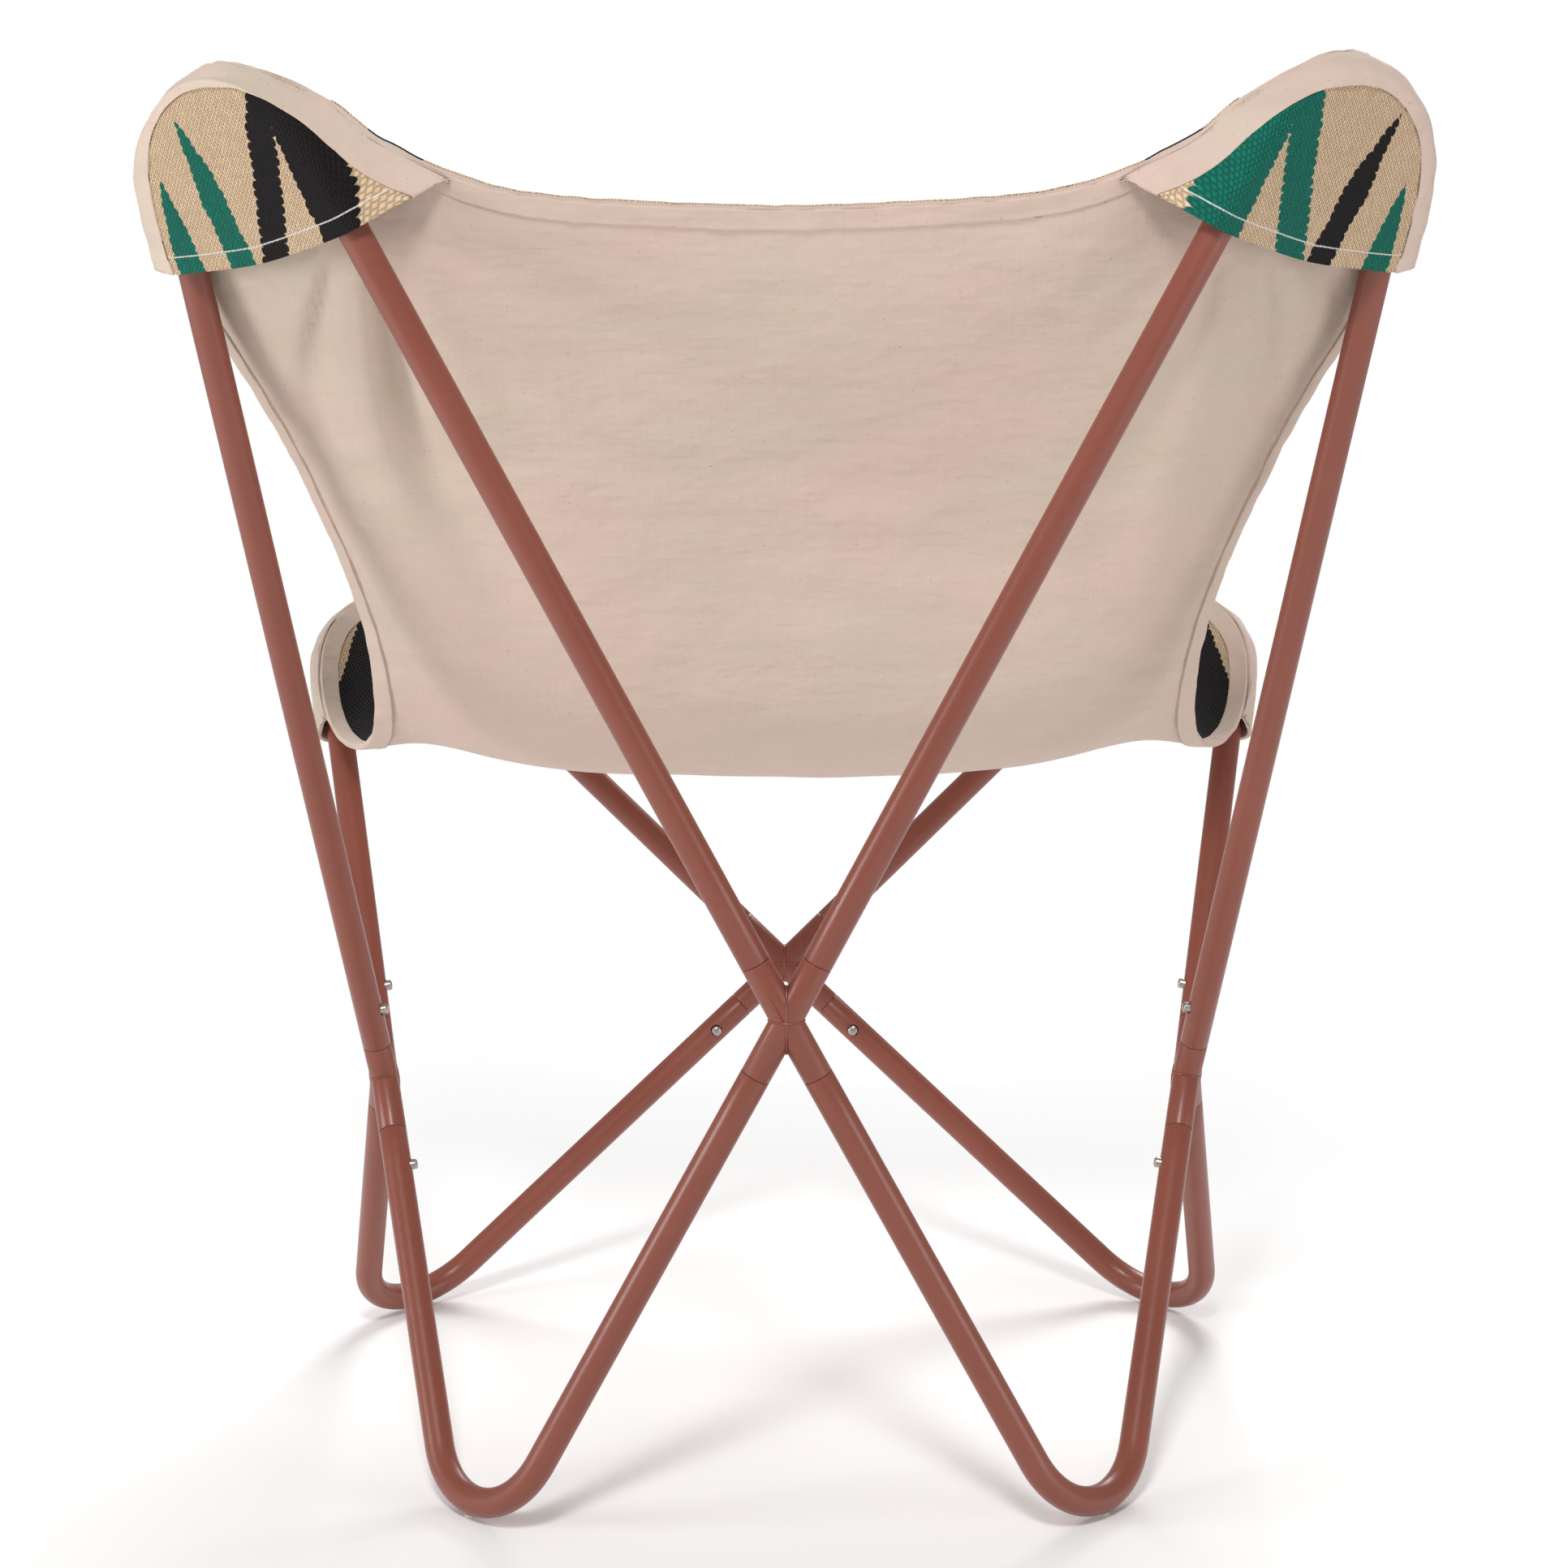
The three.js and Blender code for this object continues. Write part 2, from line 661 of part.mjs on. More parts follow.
const mirrored = (v) => vec(-v.x, v.y, v.z);
const mirroredKnots = (knots) =>
  knots.map((knot) => ({ at: mirrored(knot.at), facing: mirrored(knot.facing), free: knot.free }));
const topHalf = topKnots();
const frontHalf = frontKnots();
const sideKnotList = sideKnots();
const topLine = rimLine([...topHalf, ...mirroredKnots(topHalf).reverse().slice(1)]);
const frontLine = rimLine([...frontHalf, ...mirroredKnots(frontHalf).reverse().slice(1)]);
const leftLine = rimLine(sideKnotList);
const rightLine = rimLine(mirroredKnots(sideKnotList));

// The rim's stations. The line that bounds the panel starts at the rim and is later drawn inside it.
function edgeStations(line, count) {
  const stations = [];
  for (let i = 0; i <= count; i++) {
    const { at, tangent, facing, free } = line.read(i / count);
    stations.push({ rim: at, edge: at, tangent, facing, free });
  }
  return stations;
}
const topEdge = edgeStations(topLine, across_count);
const frontEdge = edgeStations(frontLine, across_count);
const leftEdge = edgeStations(leftLine, along_count);
const rightEdge = edgeStations(rightLine, along_count);

// Near a loop the cloth lies on its tube; beyond the tube it heads for the rim.
const loopHolds = [
  [sides.left.back_top, back_hold_length],
  [sides.right.back_top, back_hold_length],
  [sides.left.front_top, front_hold_length],
  [sides.right.front_top, front_hold_length],
];
const rim_slope_share = 0.55;
function drawToLoops(point) {
  for (const [loop, length] of loopHolds) {
    const place = loopPlace(loop, point);
    const hold = smooth(1 + place.a / length) * (1 - smooth(place.out / hold_fade));
    const beyond = Math.max(0, place.out) * (place.b > 0 ? rim_slope_share : 0);
    point.addScaledVector(loop.normal, (cloth_seat + beyond - place.h) * hold);
  }
}

// No point of the cloth's underside comes nearer to a tube than its seat.
function keepClear(point) {
  for (const [loop] of loopHolds) {
    const place = loopPlace(loop, point);
    const away = point.clone().sub(place.foot);
    const distance = away.length();
    if (distance < cloth_seat) point.addScaledVector(loop.normal, cloth_seat - Math.min(place.h, distance));
  }
}

// The panel: a patch between the four edge lines, drawn to the seat's middle line and the loops.
function patchPoint(i, j) {
  const u = i / across_count;
  const v = j / along_count;
  const edges = mix(topEdge[i].edge, frontEdge[i].edge, v);
  edges.add(mix(leftEdge[j].edge, rightEdge[j].edge, u));
  const backRow = mix(topEdge[0].edge, topEdge[across_count].edge, u);
  const frontRow = mix(frontEdge[0].edge, frontEdge[across_count].edge, u);
  return edges.sub(mix(backRow, frontRow, v));
}

// How fast the middle takes over from the edges: across the seat, below the top edge, behind the front.
const seat_spread_power = 7;
const top_fade_power = 2.6;
const front_fade_power = 3;
const smoothing_passes = 3;
const smoothing_share = 0.35;
function panelGrid() {
  const back = topEdge[across_count / 2].edge;
  const front = frontEdge[across_count / 2].edge;
  const bend = vec(0, seat_bend_back, seat_bend_up);
  const low = vec(0, -seat_low_forward, seat_low_up);
  const seatLine = new THREE.CatmullRomCurve3([back, mix(back, bend, 0.5), bend, low, front]);
  const grid = [];
  for (let j = 0; j <= along_count; j++) {
    const v = j / along_count;
    const middle = seatLine.getPointAt(v);
    const row = [];
    for (let i = 0; i <= across_count; i++) {
      const patch = patchPoint(i, j);
      const hung = middle.clone();
      hung.addScaledVector(topEdge[i].edge.clone().sub(back), (1 - v) ** top_fade_power);
      hung.addScaledVector(frontEdge[i].edge.clone().sub(front), v ** front_fade_power);
      hung.x = patch.x;
      row.push(patch.lerp(hung, 1 - Math.abs((2 * i) / across_count - 1) ** seat_spread_power));
    }
    grid.push(row);
  }
  const inside = (work) => {
    for (let j = 1; j < along_count; j++) {
      for (let i = 1; i < across_count; i++) work(grid[j][i], i, j);
    }
  };
  inside(drawToLoops);
  for (let pass = 0; pass < smoothing_passes; pass++) {
    inside((point, i, j) => {
      const around = grid[j - 1][i].clone().add(grid[j + 1][i]).add(grid[j][i - 1]).add(grid[j][i + 1]);
      point.lerp(around.multiplyScalar(0.25), smoothing_share);
    });
  }
  inside(keepClear);
  return grid.flat();
}

// The panel's triangles: every cell is split along the line that points at its nearest tip.
const columns = across_count + 1;
const gridIndex = (i, j) => j * columns + i;
const panelTriangles = [];
for (let j = 0; j < along_count; j++) {
  for (let i = 0; i < across_count; i++) {
    const [a, b] = [gridIndex(i, j), gridIndex(i + 1, j)];
    const [c, d] = [gridIndex(i + 1, j + 1), gridIndex(i, j + 1)];
    const leaning = (i < across_count / 2) === (j < along_count / 2);
    if (leaning) panelTriangles.push([a, c, b], [a, d, c]);
    else panelTriangles.push([a, d, b], [b, d, c]);
  }
}

// First the panel reaches the rim itself, which tells how the cloth faces along its free edges.
const firstNormals = pointNormals(panelGrid(), panelTriangles);
const upwards = Math.sign(firstNormals[gridIndex(across_count / 2, along_count / 2)].z);
function insetEdge(stations, indexOf, inwardSign) {
  stations.forEach((station, k) => {
    const seen = firstNormals[indexOf(k)].clone().multiplyScalar(upwards);
    station.facing = mix(station.facing, seen, station.free);
    station.facing.addScaledVector(station.tangent, -station.facing.dot(station.tangent)).normalize();
    station.inward = station.facing.clone().cross(station.tangent).multiplyScalar(inwardSign);
    station.edge = along(station.rim, station.inward, binding_width);
  });
}
insetEdge(topEdge, (k) => gridIndex(k, 0), 1);
insetEdge(frontEdge, (k) => gridIndex(k, along_count), -1);
insetEdge(leftEdge, (k) => gridIndex(0, k), -1);
insetEdge(rightEdge, (k) => gridIndex(across_count, k), 1);
const panelPoints = panelGrid();

// The rim ring round the panel, walked once round: top, right, front and left.
const ring = [];
for (let i = 0; i < across_count; i++) ring.push({ ...topEdge[i], inner: gridIndex(i, 0) });
for (let j = 0; j < along_count; j++) ring.push({ ...rightEdge[j], inner: gridIndex(across_count, j) });
for (let i = across_count; i > 0; i--) ring.push({ ...frontEdge[i], inner: gridIndex(i, along_count) });
for (let j = along_count; j > 0; j--) ring.push({ ...leftEdge[j], inner: gridIndex(0, j) });

const canvasPoints = [...panelPoints, ...ring.map((station) => station.rim)];
const ringTriangles = [];
ring.forEach((station, k) => {
  const next = (k + 1) % ring.length;
  const [a, b] = [station.inner, ring[next].inner];
  const [c, d] = [panelPoints.length + next, panelPoints.length + k];
  ringTriangles.push([a, b, c], [a, c, d]);
});
const canvasTriangles = [...panelTriangles, ...ringTriangles];

function pointNormals(points, triangles) {
  const normals = points.map(() => vec(0, 0, 0));
  for (const [a, b, c] of triangles) {
    const first = points[b].clone().sub(points[a]);
    const face = first.cross(points[c].clone().sub(points[a]));
    for (const k of [a, b, c]) normals[k].add(face);
  }
  return normals.map((normal) => normal.normalize());
}
const clothNormals = pointNormals(canvasPoints, canvasTriangles);
if (upwards < 0) clothNormals.forEach((normal) => normal.negate());

// A closed sheet between two offsets of one set of triangles.
function sheet(points, triangles, normals, low, high) {
  const used = [...new Set(triangles.flat())];
  const order = new Map(used.map((k, place) => [k, place]));
  const positions = [];
  for (const offset of [low, high]) {
    for (const k of used) positions.push(...along(points[k], normals[k], offset).toArray());
  }
  const count = used.length;
  const faces = [];
  const edges = new Map();
  for (const triangle of triangles) {
    const [a, b, c] = triangle.map((k) => order.get(k));
    faces.push(a, b, c, a + count, c + count, b + count);
    for (const [from, to] of [[a, b], [b, c], [c, a]]) edges.set(`${from},${to}`, [from, to]);
  }
  for (const [from, to] of edges.values()) {
    if (edges.has(`${to},${from}`)) continue;
    faces.push(to, from, from + count, to, from + count, to + count);
  }
  const geometry = new THREE.BufferGeometry();
  geometry.setAttribute("position", new THREE.Float32BufferAttribute(positions, 3));
  geometry.setIndex(faces);
  return toGeometry(toSolid(geometry));
}

addPart("sling_canvas", sheet(canvasPoints, canvasTriangles, clothNormals, 0, canvas_thickness), canvas);

// The woven face stops a gap short of the binding.
const kilimPoints = canvasPoints.map((point) => point.clone());
for (const station of ring) kilimPoints[station.inner].addScaledVector(station.inward, binding_gap);
addPart("sling_kilim", sheet(kilimPoints, panelTriangles, clothNormals, kilim_low, kilim_high), wool);

// Bindings: one strip for each side of the rim, from tip to tip.
function bindingStrip(first, count) {
  const points = canvasPoints.map((point) => point.clone());
  const shorten = (k, sign) => {
    const station = ring[k % ring.length];
    const place = [station.inner, panelPoints.length + (k % ring.length)];
    const next = ring[(k + sign + ring.length) % ring.length];
    const step = next.rim.clone().sub(station.rim).normalize();
    for (const index of place) points[index].addScaledVector(step, binding_gap / 2);
  };
  shorten(first, 1);
  shorten(first + count, -1);
  const triangles = ringTriangles.slice(2 * first, 2 * (first + count));
  return sheet(points, triangles, clothNormals, kilim_low, kilim_high);
}
const ringStarts = [0, across_count, across_count + along_count, 2 * across_count + along_count];
addPart("binding_top", bindingStrip(ringStarts[0], across_count), canvas);
addPart("binding_right", bindingStrip(ringStarts[1], along_count), canvas);
addPart("binding_front", bindingStrip(ringStarts[2], across_count), canvas);
addPart("binding_left", bindingStrip(ringStarts[3], along_count), canvas);

// Pockets: from the rim the cloth drops past the tube, rounds it and runs flat to the hem.
// Each level is a share of the stand-out and a share of the drop; the second set suits a raised rim.
const pocket_round_shares = [[1, 0.2], [0.98, 0.45], [0.9, 0.72], [0.68, 0.93], [0.3, 1]];
const pocket_slope_shares = [[0.9, 0.2], [0.78, 0.42], [0.64, 0.66], [0.5, 0.88], [0.3, 1]];
function pocket(loop, outerLine, innerLine, outerShare, innerShare, hemBelow, count, flip) {
  const focus = loopPoint(loop, 0, 0, -loop.radius - hemBelow, -pocket_rear);
  const rows = [];
  for (let k = 0; k <= count; k++) {
    const way = (2 * k) / count - 1;
    const line = way < 0 ? outerLine : innerLine;
    const station = line.read(Math.abs(way) * (way < 0 ? outerShare : innerShare));
    const inward = station.facing.clone().cross(station.tangent).multiplyScalar(way < 0 ? -flip : flip);
    const place = loopPlace(loop, station.at);
    const foot = place.foot;
    const outward = station.at.clone().sub(foot);
    outward.addScaledVector(loop.normal, -outward.dot(loop.normal)).normalize();
    const raised = smooth((place.h - cloth_seat) / back_rim_inner_lift);
    const start = along(station.at, station.facing, -pocket_gap * (1 + 2 * raised));
    const row = [{ at: start, thick: inward }];
    row.push({ at: along(start, station.facing, -pocket_wall_straight) });
    pocket_round_shares.forEach(([roundOut, roundDrop], level) => {
      const [slopeOut, slopeDrop] = pocket_slope_shares[level];
      const out = THREE.MathUtils.lerp(roundOut, slopeOut, raised);
      const drop = THREE.MathUtils.lerp(roundDrop, slopeDrop, raised);
      const height = place.h + (-pocket_rear - place.h) * drop;
      const at = along(foot, outward, place.out * out).addScaledVector(loop.normal, height);
      row.push({ at });
    });
    row.push({ at: along(foot, loop.normal, -pocket_rear) });
    row.push({ at: mix(row[row.length - 1].at, focus, 0.5) });
    rows.push(row);
  }
  const depth = rows[0].length;
  const points = rows.flatMap((row) => row.map((entry) => entry.at));
  const middle = points.push(focus) - 1;
  const triangles = [];
  for (let k = 0; k < count; k++) {
    for (let j = 0; j < depth - 1; j++) {
      const [a, b] = [k * depth + j, (k + 1) * depth + j];
      triangles.push([a, b, b + 1], [a, b + 1, a + 1]);
    }
    triangles.push([(k + 1) * depth - 1, (k + 2) * depth - 1, middle]);
  }
  const normals = pointNormals(points, triangles);
  const probe = normals[middle].dot(loop.normal);
  if (probe < 0) normals.forEach((normal) => normal.negate());
  rows.forEach((row, k) => normals[k * depth].copy(row[0].thick).normalize());
  return sheet(points, triangles, normals, 0, pocket_thickness);
}

const pocket_steps = 14;
const back_outer_hem_share = 0.204;
const back_inner_hem_share = 0.236;
const front_outer_hem_share = 0.165;
const front_inner_hem_share = 0.17;
const reversedSide = rimLine([...sideKnotList].reverse());
const reversedMirror = rimLine(mirroredKnots([...sideKnotList].reverse()));
const topMirror = rimLine(mirroredKnots(topHalf).concat([...topHalf].reverse().slice(1)));
const frontMirror = rimLine(mirroredKnots(frontHalf).concat([...frontHalf].reverse().slice(1)));
const pockets = {
  pocket_back_left: [
    sides.left.back_top, leftLine, topLine, back_outer_hem_share, back_inner_hem_share, back_hem_below_bend, 1,
  ],
  pocket_back_right: [
    sides.right.back_top, rightLine, topMirror, back_outer_hem_share, back_inner_hem_share, back_hem_below_bend, -1,
  ],
  pocket_front_left: [
    sides.left.front_top, reversedSide, frontLine, front_outer_hem_share, front_inner_hem_share,
    front_hem_below_bend, -1,
  ],
  pocket_front_right: [
    sides.right.front_top, reversedMirror, frontMirror, front_outer_hem_share, front_inner_hem_share,
    front_hem_below_bend, 1,
  ],
};
for (const [name, [loop, outer, inner, outerShare, innerShare, hem, flip]] of Object.entries(pockets)) {
  addPart(name, pocket(loop, outer, inner, outerShare, innerShare, hem, pocket_steps, flip), wool);
}

// The chair stands with the middle of its own box over the origin.
chair.updateMatrixWorld(true);
const box = new THREE.Box3().setFromObject(chair, true);
chair.position.y = -(box.min.y + box.max.y) / 2;

export default chair;
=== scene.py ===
"""A butterfly sling chair, seen from behind: bent steel loops on crossed connectors, and a woven sling.

Metres, +Z up, the sitter faces -Y and the sitter's left is +X.
"""
import math
from functools import partialmethod

import bmesh
import bpy
from mathutils import Matrix, Vector, noise
from mathutils.bvhtree import BVHTree
from mathutils.kdtree import KDTree


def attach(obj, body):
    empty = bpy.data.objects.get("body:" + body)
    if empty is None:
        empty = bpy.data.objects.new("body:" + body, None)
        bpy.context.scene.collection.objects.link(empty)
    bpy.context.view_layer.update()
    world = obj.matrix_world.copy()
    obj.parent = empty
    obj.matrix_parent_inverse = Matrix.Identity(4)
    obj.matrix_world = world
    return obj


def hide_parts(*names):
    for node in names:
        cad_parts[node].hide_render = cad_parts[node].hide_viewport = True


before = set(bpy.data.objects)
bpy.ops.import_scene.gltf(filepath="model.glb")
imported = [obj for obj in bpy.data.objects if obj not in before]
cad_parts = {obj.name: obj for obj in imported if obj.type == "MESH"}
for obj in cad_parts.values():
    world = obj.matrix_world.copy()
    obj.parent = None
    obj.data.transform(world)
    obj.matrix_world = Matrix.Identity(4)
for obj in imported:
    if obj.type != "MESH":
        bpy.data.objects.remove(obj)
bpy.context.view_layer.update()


# Bent tubes. Eight V's of 19 mm steel tube, each with one bend, plugged over the connectors'
# spigots. They are powder coated in a satin terracotta. Crossings are the connectors' middles, tips
# are where a V's two straight lines would meet, and shoulders say how far a connector's arms reach
# along leg 0 and leg 1 of a V. middle_shift centres the chair on the origin.

tube_radius = 0.0095
tube_wall = 0.0015
tube_sides = 48
tube_end_round = 0.0003
bend_steps = 32
end_ring_share = 0.12
seam_gap = 0.0003
middle_shift = 0.03697
back_top_bend = 0.066
front_top_bend = 0.063
foot_bend = 0.058
foot_clearance = 0.002
foot_rounds = 8
button_set_back = 0.027
drill_radius = 0.0042
drill_from = 0.002
drill_to = 0.014
drill_sides = 32
smooth_angle = math.radians(35)

crossings = {
    "back": Vector((0, 0.237, 0.335)),
    "front": Vector((0, -0.261, 0.2445)),
    "left": Vector((0.274, -0.019, 0.2266)),
    "right": Vector((-0.274, -0.019, 0.2266)),
}
tips = {
    "back_top": Vector((0.410, 0.242, 1.112)),
    "front_top": Vector((0.355, -0.339, 0.579)),
    "back_foot": Vector((0.204, 0.231, -0.0452)),
    "front_foot": Vector((0.316, -0.192, -0.0437)),
}
bends = {
    "back_top": back_top_bend,
    "front_top": front_top_bend,
    "back_foot": foot_bend,
    "front_foot": foot_bend,
}
shoulders = {
    "back_top": (0.040, 0.026),
    "front_top": (0.044, 0.042),
    "back_foot": (0.040, 0.042),
    "front_foot": (0.044, 0.026),
}


class Loop:
    """One V: two straight legs from their crossings, and the bend that joins them near the tip.

    Leg 0 starts at the back or front crossing, and leg 1 at the left or right one.
    """

    def __init__(self, kind, side):
        mirror = Vector((1 if side == "left" else -1, 1, 1))
        shift = Vector((0, middle_shift, 0))
        self.kind, self.mirror = kind, mirror.x
        self.bend = bends[kind]
        end = kind.split("_")[0]
        tip = tips[kind] * mirror + shift
        if kind.endswith("foot"):
            for _ in range(foot_rounds):
                self.settle(tip, crossings[end] + shift, crossings[side] + shift)
                tip.z += foot_clearance + tube_radius - self.lowest().z
        self.settle(tip, crossings[end] + shift, crossings[side] + shift)

    def settle(self, tip, inner, outer):
        """Works out the V from its tip and its two crossings."""
        self.tip = tip.copy()
        self.ends = [inner, outer]
        self.ways = [(tip - inner).normalized(), (tip - outer).normalized()]
        self.up = (self.ways[0] + self.ways[1]).normalized()
        self.half = self.ways[0].angle(self.ways[1]) / 2
        self.centre = tip - self.up * (self.bend / math.sin(self.half))
        self.turn = math.pi / 2 - self.half
        self.normal = self.ways[0].cross(self.ways[1]).normalized()
        sitter = Vector((-self.mirror, -1 if self.kind.startswith("back") else 1, 1))
        if self.normal.dot(sitter) < 0:
            self.normal.negate()
        inward = -self.ways[0]
        self.inward = (inward - self.up * inward.dot(self.up)).normalized()

    def lowest(self):
        """The lowest point of a foot's centre line."""
        down = Vector((0, 0, -1)) + self.normal * self.normal.z
        return self.centre + down.normalized() * self.bend

    def start(self, leg):
        """Where the tube begins on a leg, just clear of the connector's shoulder."""
        reach = shoulders[self.kind][leg] + seam_gap
        return self.ends[leg] + self.ways[leg] * reach

    def straight(self, leg):
        """How long a leg is from its end to where the bend begins."""
        return (self.tip - self.start(leg)).length - self.bend / math.tan(self.half)

    def flat(self, point):
        """How far a point lies inward, up the loop and above its plane, from the bend's centre."""
        off = point - self.centre
        return off.dot(self.inward), off.dot(self.up), off.dot(self.normal)

    def heart(self, point):
        """The nearest point of the tube's centre line."""
        across, up, _ = self.flat(point)
        if math.atan2(abs(across), up) <= self.turn:
            return self.centre + (self.inward * across + self.up * up).normalized() * self.bend
        way = self.ways[0] if across > 0 else self.ways[1]
        return self.tip + way * (point - self.tip).dot(way)

    def outside(self, point):
        """How far a point lies outside the tube's centre line, in the loop's plane."""
        across, up, _ = self.flat(point)
        if math.atan2(abs(across), up) <= self.turn:
            return math.hypot(across, up) - self.bend
        return up * math.sin(self.half) + abs(across) * math.cos(self.half) - self.bend


loops = {f"{kind}_{side}": Loop(kind, side) for kind in tips for side in ("left", "right")}


def standing(point, way):
    """The matrix that puts a shape made along +Z at a point, looking along a way."""
    return Matrix.Translation(point) @ way.to_track_quat("Z", "Y").to_matrix().to_4x4()


def bar(bm, start, end, radius, sides=tube_sides):
    """A closed round bar from start to end, added to bm."""
    way = end - start
    place = standing((start + end) / 2, way.normalized())
    bmesh.ops.create_cone(bm, cap_ends=True, segments=sides, radius1=radius, radius2=radius,
                          depth=way.length, matrix=place)


def smooth(mesh, angle=smooth_angle):
    """Shades a mesh smooth, but for the edges that turn by more than an angle."""
    mesh.shade_smooth()
    mesh.set_sharp_from_angle(angle=angle)


def piece_from(bm, name):
    """Turns a bmesh into an object of its own."""
    mesh = bpy.data.meshes.new(name)
    bm.to_mesh(mesh)
    bm.free()
    smooth(mesh)
    piece = bpy.data.objects.new(name, mesh)
    bpy.context.scene.collection.objects.link(piece)
    return piece


def settle_modifiers(piece, angle=smooth_angle):
    """Turns what a piece's modifiers make into its own mesh."""
    bpy.context.view_layer.update()
    done = bpy.data.meshes.new_from_object(
        piece.evaluated_get(bpy.context.evaluated_depsgraph_get()))
    piece.modifiers.clear()
    piece.data = done
    smooth(done, angle)


def cut_or_join(piece, tool, operation):
    """Cuts a piece by a tool piece, or joins the two, and takes the tool away."""
    work = piece.modifiers.new("work", "BOOLEAN")
    work.operation, work.solver, work.object = operation, "EXACT", tool
    settle_modifiers(piece)
    bpy.data.objects.remove(tool)


def button_spot(loop, leg):
    """Where a snap button stands on a leg, and the way it faces: towards the chair's middle."""
    way = loop.ways[leg]
    at = loop.start(leg) + way * button_set_back
    facing = Vector((-loop.ends[leg].x, -(loop.ends[leg].y - middle_shift), 0))
    facing = (facing - way * facing.dot(way)).normalized()
    return at, facing


def button_drill(spots):
    """The tool that bores the snap buttons' holes."""
    bm = bmesh.new()
    for at, facing in spots:
        bar(bm, at + facing * drill_from, at + facing * drill_to, drill_radius, drill_sides)
    return piece_from(bm, "drill")


def extend(bm, ring, move):
    """Draws a ring of edges out along a move and gives the new ring back."""
    grown = bmesh.ops.extrude_edge_only(bm, edges=ring)["geom"]
    verts = [part for part in grown if isinstance(part, bmesh.types.BMVert)]
    bmesh.ops.translate(bm, verts=verts, vec=move)
    return [part for part in grown if isinstance(part, bmesh.types.BMEdge)]


class Wire:
    """A value that flows between a finish's nodes; sums on it add Math nodes."""

    def __init__(self, finish, socket):
        self.finish, self.socket = finish, socket

    def reckon(self, operation, *others, clamp=False):
        settings = {"operation": operation, "use_clamp": clamp}
        return self.finish.add("ShaderNodeMath", settings, dict(enumerate((self, *others))))

    def __rsub__(self, other):
        return self * -1 + other

    __add__ = __radd__ = partialmethod(reckon, "ADD")
    __sub__ = partialmethod(reckon, "SUBTRACT")
    __mul__ = __rmul__ = partialmethod(reckon, "MULTIPLY")
    __truediv__ = partialmethod(reckon, "DIVIDE")
    sin = partialmethod(reckon, "SINE")
    abs = partialmethod(reckon, "ABSOLUTE")
    floor = partialmethod(reckon, "FLOOR")
    part = partialmethod(reckon, "FRACT")
    least = partialmethod(reckon, "MINIMUM")
    power = partialmethod(reckon, "POWER")
    share = partialmethod(reckon, "ADD", 0.0, clamp=True)


class Finish:
    """A material while it is being made: add() places a node and gives its output back."""

    def __init__(self, name):
        self.material = bpy.data.materials.new(name)
        self.material.use_nodes = True
        self.tree = self.material.node_tree
        self.tree.nodes.clear()

    def add(self, kind, settings=None, inputs=None, output=0):
        node = self.tree.nodes.new(kind)
        for key, value in (settings or {}).items():
            if key == "stops":
                ramp = node.color_ramp.elements
                while len(ramp) < len(value):
                    ramp.new(0.5)
                for stop, (place, colour) in zip(ramp, value):
                    stop.position, stop.color = place, colour
            else:
                setattr(node, key, value)
        for key, value in (inputs or {}).items():
            socket = node.inputs[key]
            if isinstance(value, Wire):
                self.tree.links.new(value.socket, socket)
            elif socket.type == "RGBA" and len(value) == 3:
                socket.default_value = (*value, 1)
            else:
                socket.default_value = value
        return Wire(self, node.outputs[output])

    def place(self):
        """The point on the piece, in metres."""
        return self.add("ShaderNodeTexCoord", output="Object")

    def grain(self, where, scale, detail=2.0, stretch=(1, 1, 1), roughness=0.5):
        """Noise of a scale per metre, drawn out along the axes where stretch is small."""
        turned = self.add("ShaderNodeMapping", {}, {"Vector": where, "Scale": stretch})
        return self.add("ShaderNodeTexNoise", {}, {"Vector": turned, "Scale": scale, "Detail": detail,
                                                   "Roughness": roughness})

    def blend(self, amount, first, second, kind="MIX"):
        settings = {"data_type": "RGBA", "blend_type": kind}
        return self.add("ShaderNodeMix", settings, {0: amount, 6: first, 7: second}, output=2)

    def bump(self, height, distance, strength=1.0, under=None):
        inputs = {"Height": height, "Distance": distance, "Strength": strength}
        if under is not None:
            inputs["Normal"] = under
        return self.add("ShaderNodeBump", {}, inputs)

    def surface(self, **sockets):
        """Ends the material with a Principled shader and gives the material back."""
        named = {key.replace("_", " "): value for key, value in sockets.items()}
        shader = self.add("ShaderNodeBsdfPrincipled", {}, named)
        self.add_output(shader)
        return self.material

    def add_output(self, shader):
        out = self.tree.nodes.new("ShaderNodeOutputMaterial")
        self.tree.links.new(shader.socket, out.inputs["Surface"])


def powder_coat():
    """Satin powder coat over steel: orange peel, faint cloudiness and a few pale scuffs."""
    deep, pale, scuffed = (0.195, 0.050, 0.031), (0.250, 0.068, 0.043), (0.42, 0.19, 0.14)
    coat = Finish("terracotta_powder_coat")
    where = coat.place()
    cloud = coat.grain(where, 9.0, 3.0)
    peel = coat.grain(where, 900.0, 1.0)
    lumps = coat.grain(where, 160.0, 2.0)
    scuff = coat.add("ShaderNodeValToRGB", {"stops": [(0.70, (0, 0, 0, 1)), (0.76, (1, 1, 1, 1))]},
                     {0: coat.grain(where, 60.0, 5.0, (1, 1, 0.35), 0.65)})
    colour = coat.blend(cloud, deep, pale)
    colour = coat.blend(scuff * 0.35, colour, scuffed)
    skin = coat.bump(peel, 0.00004, 1.0, coat.bump(lumps, 0.00012))
    return coat.surface(Base_Color=colour, Roughness=0.33 + cloud * 0.08, Normal=skin,
                        Specular_IOR_Level=0.45, Coat_Weight=0.10, Coat_Roughness=0.2)


terracotta = powder_coat()

